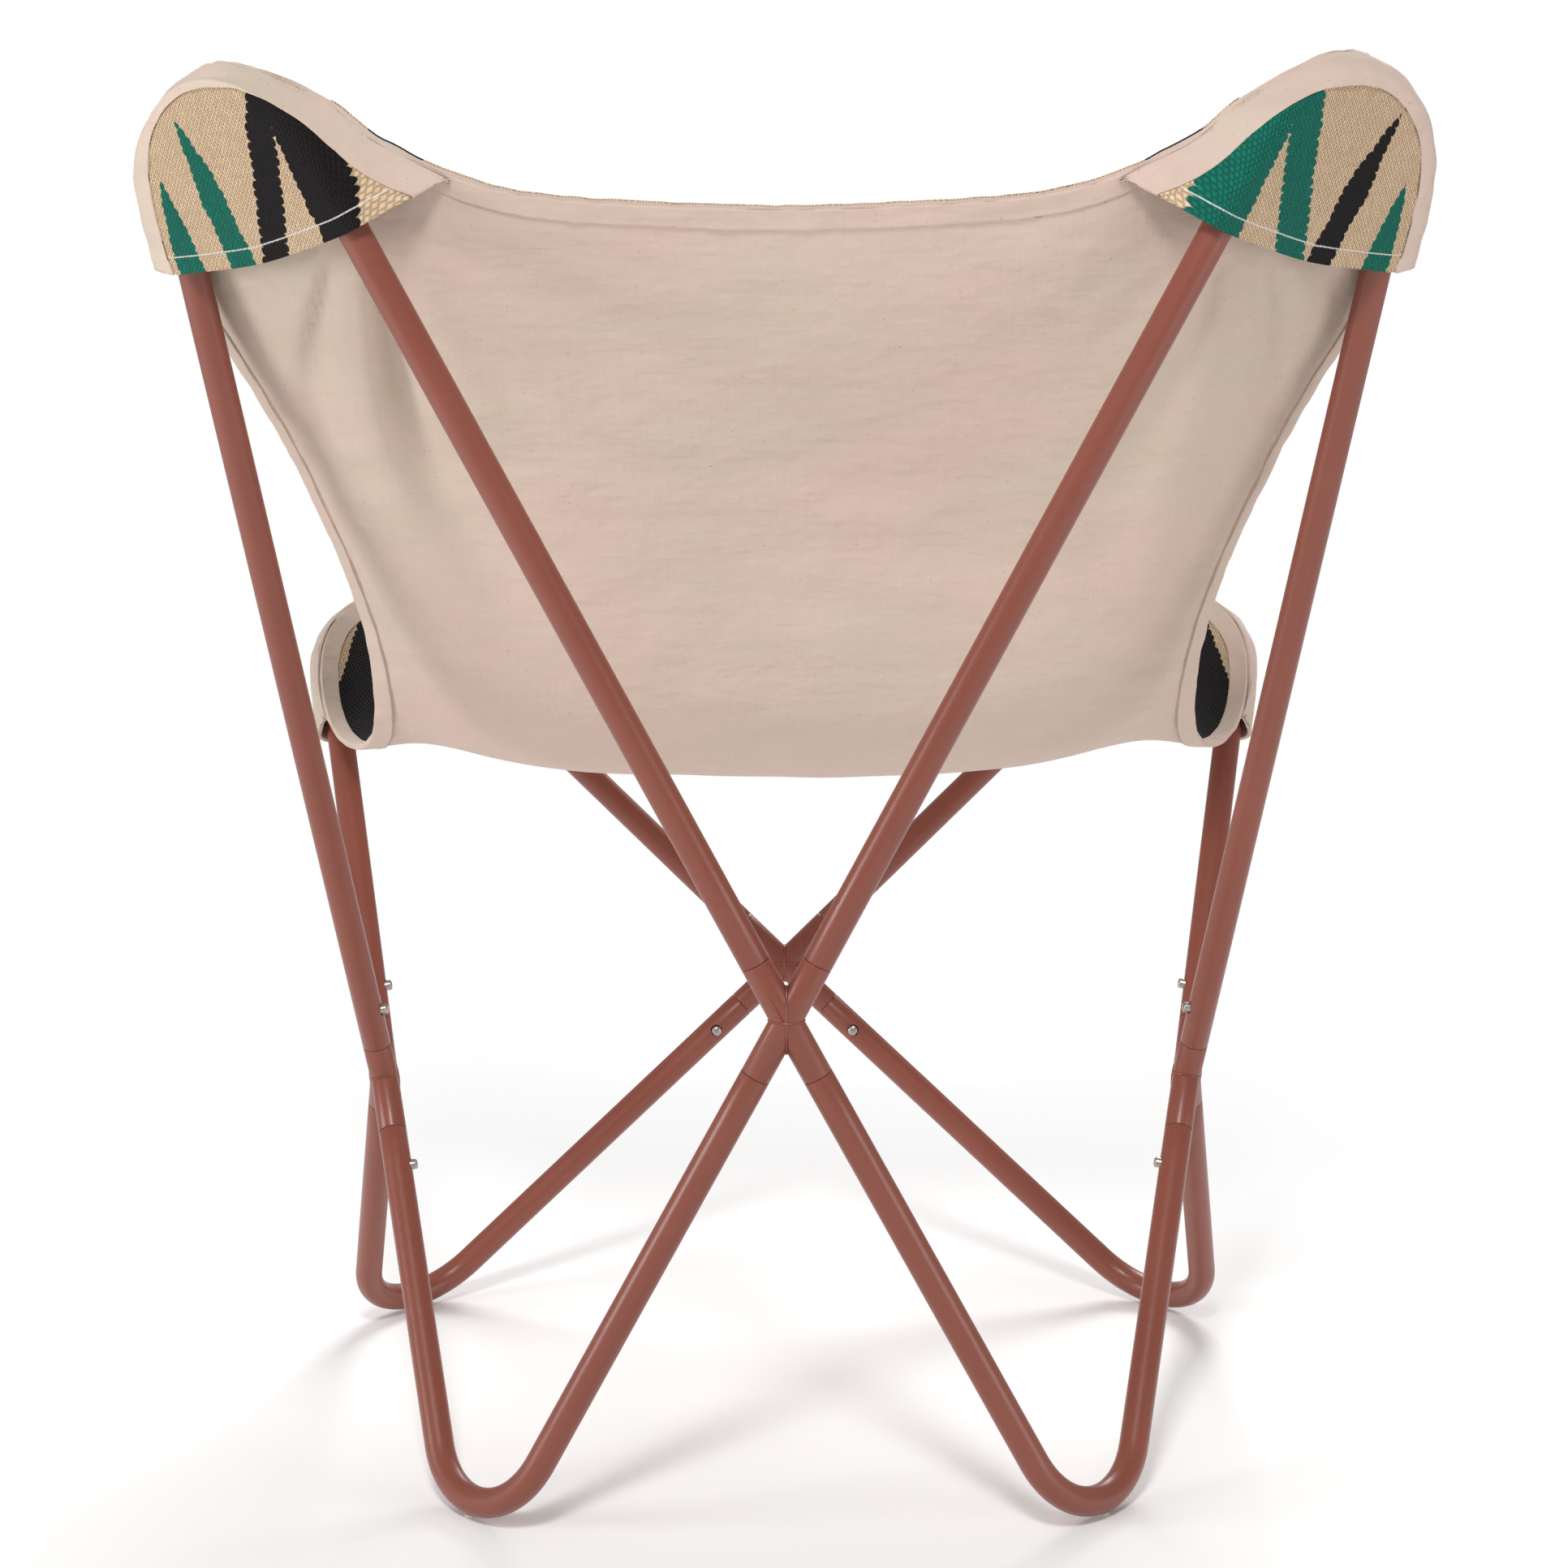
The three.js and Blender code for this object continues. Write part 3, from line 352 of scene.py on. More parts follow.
for label, loop in loops.items():
    bm = bmesh.new()
    bmesh.ops.create_circle(bm, segments=tube_sides, radius=tube_radius,
                            matrix=standing(loop.start(0), loop.ways[0]))
    ring = bm.edges[:]
    for share in (end_ring_share, 1 - end_ring_share):
        ring = extend(bm, ring, loop.ways[0] * loop.straight(0) * share)
    axis = (-loop.inward).cross(loop.up)
    bend = bmesh.ops.spin(bm, geom=ring, cent=loop.centre, axis=axis, angle=-2 * loop.turn,
                          steps=bend_steps)
    ring = [part for part in bend["geom_last"] if isinstance(part, bmesh.types.BMEdge)]
    for share in (1 - end_ring_share, end_ring_share):
        ring = extend(bm, ring, -loop.ways[1] * loop.straight(1) * share)
    bmesh.ops.recalc_face_normals(bm, faces=bm.faces)
    tube = piece_from(bm, f"bent_tube_{label}")
    wall = tube.modifiers.new("wall", "SOLIDIFY")
    wall.thickness, wall.offset = tube_wall, -1
    rounded = tube.modifiers.new("rounded", "BEVEL")
    rounded.width, rounded.segments, rounded.limit_method = tube_end_round, 2, "ANGLE"
    settle_modifiers(tube)
    cut_or_join(tube, button_drill([button_spot(loop, 0), button_spot(loop, 1)]), "DIFFERENCE")
    tube.data.materials.clear()
    tube.data.materials.append(terracotta)
    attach(tube, "frame")
    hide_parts(f"tube_{label}")


# Crossed connectors. Each is one short tube that runs through, with two stubs welded to its
# sides, and four thinner spigots that the bent tubes slide over. Same powder coat as the tubes.

spigot_radius = 0.0069
spigot_bore = 0.0057
spigot_length = 0.046
shoulder_round = 0.0004
heart_overlap = 0.001
bore_start_share = 0.8
bore_overrun = 0.014
weld_radius = 0.0008
weld_sides = 10
weld_steps = 64

through_tubes = {
    "back": ["back_top_right", "back_foot_left"],
    "front": ["front_top_right", "front_foot_left"],
    "left": ["front_top_left", "back_foot_left"],
    "right": ["front_top_right", "back_foot_right"],
}
stub_tubes = {
    "back": ["back_top_left", "back_foot_right"],
    "front": ["front_top_left", "front_foot_right"],
    "left": ["back_top_left", "front_foot_left"],
    "right": ["back_top_right", "front_foot_right"],
}


def arm_bar(loop, leg, at, radius, reach):
    """One arm of a connector: a bar from its heart along a leg, with a soft outer edge on a shoulder."""
    bm = bmesh.new()
    way = loop.ways[leg]
    bar(bm, at - way * heart_overlap, at + way * reach, radius)
    if radius == tube_radius:
        rim = [edge for edge in bm.edges if all((vert.co - at).dot(way) > reach / 2 for vert in edge.verts)]
        bmesh.ops.bevel(bm, geom=rim, offset=shoulder_round, segments=2, affect="EDGES",
                        profile=0.5, material=-1)
    return piece_from(bm, "arm")


def weld_bead(bm, at, first, second):
    """Adds the weld of two crossing tubes on one diagonal: a thin ring stretched to their seam."""
    across = (first + second).normalized()
    normal = first.cross(second).normalized()
    stretch = 1 / math.sin(first.angle(second) / 2)
    bead = bmesh.new()
    bmesh.ops.create_circle(bead, segments=weld_sides, radius=weld_radius,
                            matrix=Matrix.Translation((tube_radius, 0, 0))
                            @ Matrix.Rotation(math.pi / 2, 4, "X"))
    bmesh.ops.spin(bead, geom=bead.edges[:], cent=(0, 0, 0), axis=(0, 0, 1), angle=2 * math.pi,
                   steps=weld_steps, use_merge=True)
    turn = Matrix((across * stretch, normal, across.cross(normal))).transposed().to_4x4()
    bmesh.ops.transform(bead, matrix=Matrix.Translation(at) @ turn, verts=bead.verts)
    mesh = bpy.data.meshes.new("weld")
    bead.to_mesh(mesh)
    bead.free()
    bm.from_mesh(mesh)
    bpy.data.meshes.remove(mesh)


for name, crossing in crossings.items():
    at = crossing + Vector((0, middle_shift, 0))
    leg = 0 if name in ("back", "front") else 1
    through = [loops[label] for label in through_tubes[name]]
    stubs = [loops[label] for label in stub_tubes[name]]
    arms = [arm_bar(loop, leg, at, radius, shoulders[loop.kind][leg] + extra)
            for radius, extra in ((tube_radius, 0), (spigot_radius, spigot_length))
            for loop in through + stubs]
    connector = arms[0]
    connector.name = f"crossed_connector_{name}"
    for other in arms[1:]:
        cut_or_join(connector, other, "UNION")
    bm = bmesh.new()
    for loop in through + stubs:
        shoulder = shoulders[loop.kind][leg]
        bar(bm, at + loop.ways[leg] * (shoulder * bore_start_share),
            at + loop.ways[leg] * (shoulder + spigot_length + bore_overrun), spigot_bore)
    cut_or_join(connector, piece_from(bm, "bores"), "DIFFERENCE")
    spots = [button_spot(loop, leg) for loop in through + stubs]
    cut_or_join(connector, button_drill(spots), "DIFFERENCE")
    bm = bmesh.new()
    bm.from_mesh(connector.data)
    one, two = through[0].ways[leg], stubs[0].ways[leg]
    weld_bead(bm, at, one, two)
    weld_bead(bm, at, -one, two)
    bm.to_mesh(connector.data)
    bm.free()
    smooth(connector.data)
    connector.data.materials.clear()
    connector.data.materials.append(terracotta)
    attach(connector, "frame")
    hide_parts(f"connector_{name}")


# Snap buttons. Plain steel pins with a low dome, sprung out through a hole in spigot and tube;
# each slides in its own hole. Behind each one sits a leaf spring folded to a V.

button_outline = [
    (0.0000, 0.0013), (0.0042, 0.0013), (0.0042, 0.0023), (0.0035, 0.0023), (0.0035, 0.0122),
    (0.00335, 0.0126), (0.0029, 0.01298), (0.0020, 0.0133), (0.0010, 0.01346), (0.0000, 0.0135),
]
turned_steps = 32


def turned_piece(name, outline, place):
    """A small part turned from an outline of radii and heights, and put in its place."""
    bm = bmesh.new()
    verts = [bm.verts.new((radius, 0, height)) for radius, height in outline]
    edges = [bm.edges.new(pair) for pair in zip(verts, verts[1:])]
    bmesh.ops.spin(bm, geom=edges, cent=(0, 0, 0), axis=(0, 0, 1), angle=2 * math.pi,
                   steps=turned_steps, use_merge=True)
    bmesh.ops.remove_doubles(bm, verts=bm.verts, dist=1e-6)
    bmesh.ops.recalc_face_normals(bm, faces=bm.faces)
    bmesh.ops.transform(bm, matrix=place, verts=bm.verts)
    return piece_from(bm, name)


def brushed_steel(name, colour, roughness):
    """Drawn steel with fine streaks and a little tarnish."""
    tarnished = (0.23, 0.19, 0.16)
    steel = Finish(name)
    where = steel.place()
    streaks = steel.grain(where, 700.0, 3.0, (1, 1, 0.2))
    tarnish = steel.grain(where, 140.0, 3.0)
    tone = steel.blend(tarnish * 0.5, colour, tarnished)
    return steel.surface(Base_Color=tone, Metallic=1.0, Roughness=roughness + streaks * 0.15,
                         Normal=steel.bump(streaks, 0.00003))


pin_steel = brushed_steel("pin_steel", (0.50, 0.47, 0.44), 0.26)
spring_steel = brushed_steel("spring_steel", (0.28, 0.28, 0.29), 0.35)

for label, loop in loops.items():
    for leg, ending in enumerate(("in", "out")):
        button = turned_piece(f"snap_button_{label}_{ending}", button_outline,
                              standing(*button_spot(loop, leg)))
        button.data.materials.append(pin_steel)
        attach(button, f"button_{label}_{ending}_body")
        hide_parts(f"button_{label}_{ending}")
        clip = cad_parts[f"clip_{label}_{ending}"]
        clip.data.materials.clear()
        clip.data.materials.append(spring_steel)


# Foot glides. Small plugs of milky nylon pushed into the lowest point of each foot loop, the
# only thing that touches the floor.

glide_outline = [
    (0.0, 0.0), (0.0033, 0.0), (0.0038, 0.0004), (0.0038, 0.0013), (0.0034, 0.0017), (0.002, 0.0017),
    (0.002, 0.0041), (0.0, 0.0041),
]
nylon = Finish("milky_nylon")
nylon_marks = nylon.grain(nylon.place(), 420.0, 3.0)
milky_nylon = nylon.surface(
    Base_Color=nylon.blend(nylon_marks, (0.62, 0.58, 0.52), (0.72, 0.69, 0.64)),
    Roughness=0.42 + nylon_marks * 0.2, Normal=nylon.bump(nylon_marks, 0.00005))

for end in ("back", "front"):
    for side in ("left", "right"):
        low = loops[f"{end}_foot_{side}"].lowest()
        glide = turned_piece(f"foot_glide_{end}_{side}", glide_outline,
                             Matrix.Translation((low.x, low.y, 0)))
        glide.data.materials.append(milky_nylon)
        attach(glide, "frame")
        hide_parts(f"glide_{end}_{side}")


# Canvas backing. One sheet of plain natural cotton, seen from behind. It hangs from the four
# upper tips, drags in soft folds from the arms and bellies a little at the seat.

seat_line = [Vector(spot) for spot in (
    (0.310, 0.906), (0.259, 0.820), (0.152, 0.638), (0.045, 0.456), (-0.005, 0.428),
    (-0.068, 0.412), (-0.150, 0.417), (-0.285, 0.438), (-0.384, 0.453))]
cloth_levels = 3
crease_angle = math.radians(50)


def cloth_mesh(node):
    """A bmesh of a CAD cloth solid, with its triangles joined to four-sided faces."""
    bm = bmesh.new()
    bm.from_mesh(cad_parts[node].data)
    bmesh.ops.remove_doubles(bm, verts=bm.verts, dist=1e-5)
    bmesh.ops.join_triangles(bm, faces=bm.faces, angle_face_threshold=math.radians(40),
                             angle_shape_threshold=math.radians(55))
    return bm


def keep_creases(bm):
    """Marks the sharp edges of a cloth, so that subdivision leaves them sharp."""
    crease = bm.edges.layers.float.new("crease_edge")
    for edge in bm.edges:
        if edge.is_manifold and edge.calc_face_angle() > crease_angle:
            edge[crease] = 1.0


def add_finer(piece):
    """Rounds a cloth by subdivision."""
    finer = piece.modifiers.new("finer", "SUBSURF")
    finer.levels = finer.render_levels = cloth_levels


def cloth_copy(node, name, keep=None):
    """A finer, rounder copy of a CAD cloth solid, with its cut edges kept; keep picks faces."""
    bm = cloth_mesh(node)
    keep_creases(bm)
    if keep is not None:
        bmesh.ops.delete(bm, geom=[face for face in bm.faces if not keep(face)], context="FACES")
    piece = piece_from(bm, name)
    add_finer(piece)
    settle_modifiers(piece)
    return piece


def wave(value, low, high):
    """0 below low, 1 above high, and a smooth step between them."""
    share = min(1.0, max(0.0, (value - low) / (high - low)))
    return share * share * (3 - 2 * share)


def seat_run(point):
    """How far down the sling's middle line a point lies, and how far off that line, in y and z.

    The line starts 0.1 above the sling's top edge.
    """
    nearest, run = math.inf, 0.0
    spot = Vector((point.y, point.z))
    for start, end in zip(seat_line, seat_line[1:]):
        way = end - start
        share = min(1.0, max(0.0, (spot - start).dot(way) / way.length_squared))
        off = spot - (start + way * share)
        if off.length < nearest:
            nearest, found, gap = off.length, run + share * way.length, off
        run += way.length
    return found, gap


fan_out, fan_up = 0.262, 0.852
fan_reach = 0.15
fan_spread = 0.10
fan_pitch = 15
fan_height = 0.0180
belly_height = 0.0060
ripple_height = 0.0022
tug_height = 0.0012
sling_half_width = 0.27
sling_flare = 0.42
narrowest_up = 0.52


def drape(point, run):
    """How far every layer of the hung cloth moves towards the sitter at a point.

    Folds fan out from under each back pocket, the back bellies, and its side edges tug a little.
    """
    side = 1 if point.x > 0 else -1
    off = Vector((point.x - fan_out * side, point.z - fan_up))
    reach = off.length
    angle = math.atan2(-off.y, -off.x * side)
    edge_out = sling_half_width + sling_flare * max(0.0, point.z - narrowest_up)
    held = wave(-abs(point.x), -0.97 * edge_out, -0.75 * edge_out)
    near = math.exp(-((reach - fan_reach) / fan_spread) ** 2) * wave(run, 0.12, 0.16) * held
    fan = 0.5 + 0.5 * math.sin(angle * fan_pitch + 1.3 * math.sin(reach * 17 + 2 * side) + 0.9 * side)
    fan *= 0.6 + 0.8 * noise.noise(Vector((angle * 1.7, side, 5.5)))
    broad = wave(run, 0.16, 0.30) * wave(0.80 - run, 0.02, 0.25)
    swell = 0.5 + 0.5 * noise.noise(Vector((point.x * 7, point.z * 11, 3.7)))
    ripple = 0.5 + 0.5 * noise.noise(Vector((point.x * 19, point.z * 34, 8.1)))
    edge = wave(abs(point.x), 0.60 * edge_out, 0.95 * edge_out)
    tug = 0.5 + 0.5 * math.sin(point.z * 150 + 3 * math.sin(point.z * 37) + side)
    return (fan_height * near * max(0.0, fan) ** 2.3
            + broad * (belly_height * swell + ripple_height * ripple)
            + tug_height * edge * broad * tug)


arm_drop = {"left": 0.011, "right": 0.005}
arm_slope_drop = 0.009
arm_reach = 0.2


def settle_on_arm(point):
    """How the cloth's rim has slipped down towards the bend of a back loop.

    The angle is in degrees round the bend, 0 at its top and positive on the chair's inner side.
    """
    side = "left" if point.x > 0 else "right"
    loop = loops[f"back_top_{side}"]
    if (point - loop.centre).length > arm_reach:
        return Vector((0, 0, 0))
    across, up, _ = loop.flat(point)
    angle = math.degrees(math.atan2(across, up))
    drop = (arm_drop[side] * wave(angle, -75, -30) * wave(-angle, -60, -20)
            + arm_slope_drop * wave(angle, 10, 50) * wave(-angle, -100, -70))
    share = wave(loop.outside(point), 0.012, 0.029) * wave(-across, -0.140, -0.095)
    return (loop.inward * -across + loop.up * -up).normalized() * drop * share


back_to_sitter = Vector((0, -0.86, 0.51))
seat_to_sitter = Vector((0, 0, 1))


def hang(piece):
    """Moves a cloth's points by the drape, square to the sling's slope, all layers alike."""
    for vert in piece.data.vertices:
        run, _ = seat_run(vert.co)
        way = back_to_sitter.lerp(seat_to_sitter, wave(run, 0.40, 0.62)).normalized()
        vert.co += way * drape(vert.co, run) + settle_on_arm(vert.co)


def cloth_map(piece, place):
    """Gives a cloth its own map in metres: place turns a point into across and along."""
    layer = piece.data.uv_layers.new(name="cloth")
    spots = [place(vert.co) for vert in piece.data.vertices]
    for corner, loop_vert in zip(layer.data, piece.data.loops):
        corner.uv = spots[loop_vert.vertex_index]


def seat_place(point):
    """Where a point of the sling lies on the flat cloth: across from the middle, and along."""
    run, gap = seat_run(point)
    rise = max(0.0, gap.length - 0.004)
    return (point.x + math.copysign(0.45 * rise, point.x), run)


def cotton_canvas():
    """Unbleached cotton: threads, seed flecks, faint pink and straw clouds, handling creases.

    The point attribute "seam" paints a thin dark line of shade where a binding meets the cloth.
    """
    straw_cast, pink_cast = (0.575, 0.480, 0.385), (0.640, 0.465, 0.405)
    bleached, thread_shade = (0.70, 0.61, 0.52), (0.48, 0.37, 0.29)
    # painted_seam_shade is the colour of the painted shade along the line where a binding meets the cloth.
    seed_brown, painted_seam_shade = (0.22, 0.13, 0.08), (0.17, 0.11, 0.08)
    cotton = Finish("natural_canvas")
    where = cotton.place()
    cloud = cotton.grain(where, 5.5, 2.0)
    mottle = cotton.grain(where, 22.0, 4.0, roughness=0.6)
    weft = cotton.grain(where, 420.0, 2.0, (0.08, 1, 1))
    warp = cotton.grain(where, 420.0, 2.0, (1, 0.08, 0.08))
    crease = cotton.grain(where, 14.0, 3.0, (1, 1, 2.1), 0.62)
    fleck = cotton.add("ShaderNodeValToRGB", {"stops": [(0.825, (0, 0, 0, 1)), (0.85, (1, 1, 1, 1))]},
                       {0: cotton.grain(where, 480.0, 0.0)})
    streak = cotton.grain(where, 16.0, 4.0, (0.45, 1, 1.7), 0.6)
    hue = cotton.add("ShaderNodeValToRGB", {"stops": [(0.38, (0, 0, 0, 1)), (0.62, (1, 1, 1, 1))]},
                     {0: cloud * 0.55 + streak * 0.45})
    colour = cotton.blend(hue, straw_cast, pink_cast)
    colour = cotton.blend(0.35 * mottle, colour, bleached)
    colour = cotton.blend((weft + warp) * 0.16, colour, thread_shade)
    colour = cotton.blend(fleck * 0.32, colour, seed_brown)
    sewn = cotton.add("ShaderNodeAttribute", {"attribute_name": "seam"}, output="Fac")
    # Painted shade: a thin dark line along each binding's sewn edge stands in for the shade in the crevice
    # where it meets the cloth.
    seam_shade_mask = ((sewn - 0.90) * 22).share() * ((1.02 - sewn) * 30).share()
    colour = cotton.blend(seam_shade_mask * 0.45, colour, painted_seam_shade)
    folds = cotton.bump(crease, 0.0060, 0.70)
    threads = cotton.bump(weft + warp, 0.00022, 0.8, folds)
    return cotton.surface(Base_Color=colour, Roughness=0.88, Normal=threads, Specular_IOR_Level=0.2,
                          Sheen_Weight=0.10, Sheen_Roughness=0.5)


cotton = cotton_canvas()
canvas = cloth_copy("sling_canvas", "canvas_backing")
hang(canvas)
cloth_map(canvas, seat_place)
canvas.data.materials.append(cotton)
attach(canvas, "frame")
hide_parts("sling_canvas")


# Woven seat face. A flat-woven wool kilim on the sitter's side of the canvas: cream with black
# and teal tongues that fork and taper, woven in small steps so that every edge is serrated.

weft_width = 0.0018
weft_length = 0.0036
stitch_height = 0.011
stitch_half = 0.00055
step_length = 0.0056
step_depth = 0.0013
wander_width = 0.006
taper_length = 0.05
tip_margin = 0.002
edge_sharpness = 1800
cream = (0.790, 0.585, 0.385)
straw = (0.640, 0.445, 0.270)
sun_bleached = (0.86, 0.70, 0.50)
# painted_groove_shade is the colour of the painted shade in the hollows between the yarns.
painted_groove_shade = (0.36, 0.26, 0.20)
stitch_thread = (0.80, 0.76, 0.72)
black = (0.0085, 0.0060, 0.0062)
teal = (0.0035, 0.190, 0.135)


def kilim(name, tongues, mirror=False, stitched=False):
    """The woven cloth, on the map "cloth" in metres.

    Each tongue is its colour, foot, lean, sway, bend, half width, start and stop: it stands at foot
    across the cloth, leans and sways with the way along, and tapers at its start and stop.
    """
    wool = Finish(name)
    chart = wool.add("ShaderNodeUVMap", {"uv_map": "cloth"})
    spread = wool.add("ShaderNodeSeparateXYZ", {}, {0: chart}, output=0)
    along = Wire(wool, spread.socket.node.outputs[1])
    across = spread.abs() if mirror else spread
    column = (spread / weft_width).floor()
    odd = (column * 0.5).part()
    travel = along / weft_length + odd
    yarn = wool.add("ShaderNodeCombineXYZ", {}, {0: column, 1: travel.floor()})
    tint = wool.add("ShaderNodeTexWhiteNoise", {"noise_dimensions": "2D"}, {"Vector": yarn})
    loopy = (travel.part() * math.pi).sin()
    round_over = ((spread / weft_width).part() * math.pi).sin()
    height = loopy.power(0.6) * round_over.power(0.7)
    fuzz = wool.grain(chart, 1500.0, 2.0)
    step = (along / step_length).floor() * step_length + step_length / 2
    nibble = ((along / step_length).part() * math.pi).sin() * step_depth
    wander = (wool.grain(chart, 60.0, 1.0) - 0.5) * wander_width
    pale = wool.blend(tint * 0.75, cream, straw)
    colour = wool.blend(wool.grain(chart, 14.0, 2.0) * 0.30, pale, sun_bleached)
    for paint, foot, lean, sway, bend, half, start, stop in tongues:
        middle = foot + step * lean + (step * bend).sin() * sway
        from_ends = ((along - start) / taper_length).least((along * -1 + stop) / taper_length)
        width = from_ends.share().power(0.6) * (half + tip_margin) + nibble - tip_margin
        mask = ((width - (across + wander - middle).abs()) * edge_sharpness).share()
        dye = wool.blend(tint * 0.5, paint, tuple(channel * 0.6 + 0.003 for channel in paint))
        colour = wool.blend(mask, colour, dye)
    # Painted shade: the hollows between the yarns are darkened, standing in for the shade that falls in
    # them.
    groove_shade_share = (1 - height) * 0.50
    colour = wool.blend(groove_shade_share, colour, painted_groove_shade, "MULTIPLY")
    if stitched:
        hem = wool.add("ShaderNodeAttribute", {"attribute_name": "hem"}, output="Fac")
        thread = 1 - ((hem - stitch_height).abs() / stitch_half).power(4)
        colour = wool.blend(thread.share() * 0.85, colour, stitch_thread)
    weave = wool.bump(height + fuzz * 0.25, 0.0012, 1.0, wool.bump(wool.grain(chart, 40.0, 2.0), 0.002, 0.5))
    return wool.surface(Base_Color=colour, Roughness=0.92, Normal=weave, Specular_IOR_Level=0.12,
                        Sheen_Weight=0.05, Sheen_Roughness=0.6)


seat_tongues = [
    (black, 0.030, 0.30, 0.012, 18, 0.021, 0.13, 0.37),
    (teal, 0.110, 0.34, 0.012, 20, 0.019, 0.09, 0.34),
    (black, 0.205, 0.26, 0.012, 17, 0.022, 0.02, 0.42),
    (teal, 0.300, 0.10, 0.008, 20, 0.018, -0.02, 0.27),
    (black, 0.330, -0.55, 0.012, 19, 0.020, 0.30, 0.53),
    (teal, 0.420, -0.50, 0.010, 22, 0.018, 0.37, 0.61),
    (black, 0.012, 0.00, 0.008, 22, 0.018, 0.42, 0.60),
    (black, -0.200, 0.45, 0.010, 22, 0.021, 0.56, 0.86),
    (teal, -0.080, 0.42, 0.012, 18, 0.020, 0.56, 0.90),
    (black, 0.100, 0.28, 0.012, 20, 0.021, 0.62, 0.97),
    (teal, -0.020, 0.05, 0.008, 24, 0.017, 0.67, 0.92),
]
seat_face = cloth_copy("sling_kilim", "kilim_seat_face")
hang(seat_face)
cloth_map(seat_face, seat_place)
seat_face.data.materials.append(kilim("kilim_seat", seat_tongues, mirror=True))
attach(seat_face, "frame")
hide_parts("sling_kilim")


# Edge binding. A doubled strip of the same canvas, folded over the sling's edge all the way
# round and sewn through: 14 mm shows in front and behind. Over the top one the kilim is turned.

binding_wrap = 0.0026
binding_wrap_on_tube = 0.0018
on_tube_within = 0.15
faces_canvas_within = 0.0012
faces_kilim_within = 0.0018
fold_round = 0.0011
binding_smooth_angle = math.radians(80)


def near_surface(node):
    """A tree that tells how far a point lies from a CAD node."""
    bm = bmesh.new()
    bm.from_mesh(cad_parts[node].data)
    tree = BVHTree.FromBMesh(bm)
    bm.free()
    return tree


def pucker(piece, size, pitch):
    """Small handling wrinkles, square to the cloth."""
    ways = [vert.normal.copy() for vert in piece.data.vertices]
    for vert, way in zip(piece.data.vertices, ways):
        vert.co += way * size * noise.noise(vert.co * pitch)


canvas_near = near_surface("sling_canvas")
kilim_near = near_surface("sling_kilim")
bindings = []
sewn_edges = bmesh.new()
for edge_name in ("top", "right", "front", "left"):
    node = f"binding_{edge_name}"
    bm = cloth_mesh(node)
    keep_creases(bm)
    seam = bm.verts.layers.float.new("seam")
    for vert in bm.verts:
        spot, _, _, away = canvas_near.find_nearest(vert.co)
        if away < faces_canvas_within:
            if kilim_near.find_nearest(vert.co)[3] < faces_kilim_within:
                # The seam value sets how strong the painted shade along the sewn edge is; it is fainter on
                # the top.
                vert[seam] = 0.92 if edge_name == "top" else 1.0
            to_tube = min((vert.co - loops[f"front_top_{side}"].centre).length for side in ("left", "right"))
            wrap = binding_wrap_on_tube if to_tube < on_tube_within else binding_wrap
            vert.co -= (vert.co - spot).normalized() * wrap
    binding = piece_from(bm, f"canvas_binding_{edge_name}")
    add_finer(binding)
    folded = binding.modifiers.new("folded", "BEVEL")
    folded.width, folded.segments = fold_round, 3
    folded.limit_method, folded.angle_limit = "ANGLE", crease_angle
    settle_modifiers(binding, binding_smooth_angle)
    sewn_edges.from_mesh(binding.data)
    hang(binding)
    pucker(binding, 0.0007, 85)
    binding.data.materials.append(cotton)
    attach(binding, "frame")
    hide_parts(node)
    bindings.append(binding)
bindings_near = BVHTree.FromBMesh(sewn_edges)
sewn_edges.free()

turn_cloth = 0.0009
faces_sitter_from = 0.35
between_pockets = 0.262
bm = bmesh.new()
bm.from_mesh(bindings[0].data)
bm.normal_update()
bmesh.ops.delete(bm, geom=[face for face in bm.faces if face.normal.dot(back_to_sitter) < faces_sitter_from
                           or abs(face.calc_center_median().x) > between_pockets], context="FACES")
turned = piece_from(bm, "kilim_turned_top")
thicker = turned.modifiers.new("thicker", "SOLIDIFY")
thicker.thickness, thicker.offset = turn_cloth, 1
settle_modifiers(turned)
cloth_map(turned, seat_place)
turned.data.materials.clear()
turned.data.materials.append(seat_face.data.materials[0])
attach(turned, "frame")


# Pockets. A kilim cover is sewn to the sling's edge round each upper tip, open below, and slides
# down over the bend of its loop. Its wall is bound in canvas; a pale stitch runs above the hem.

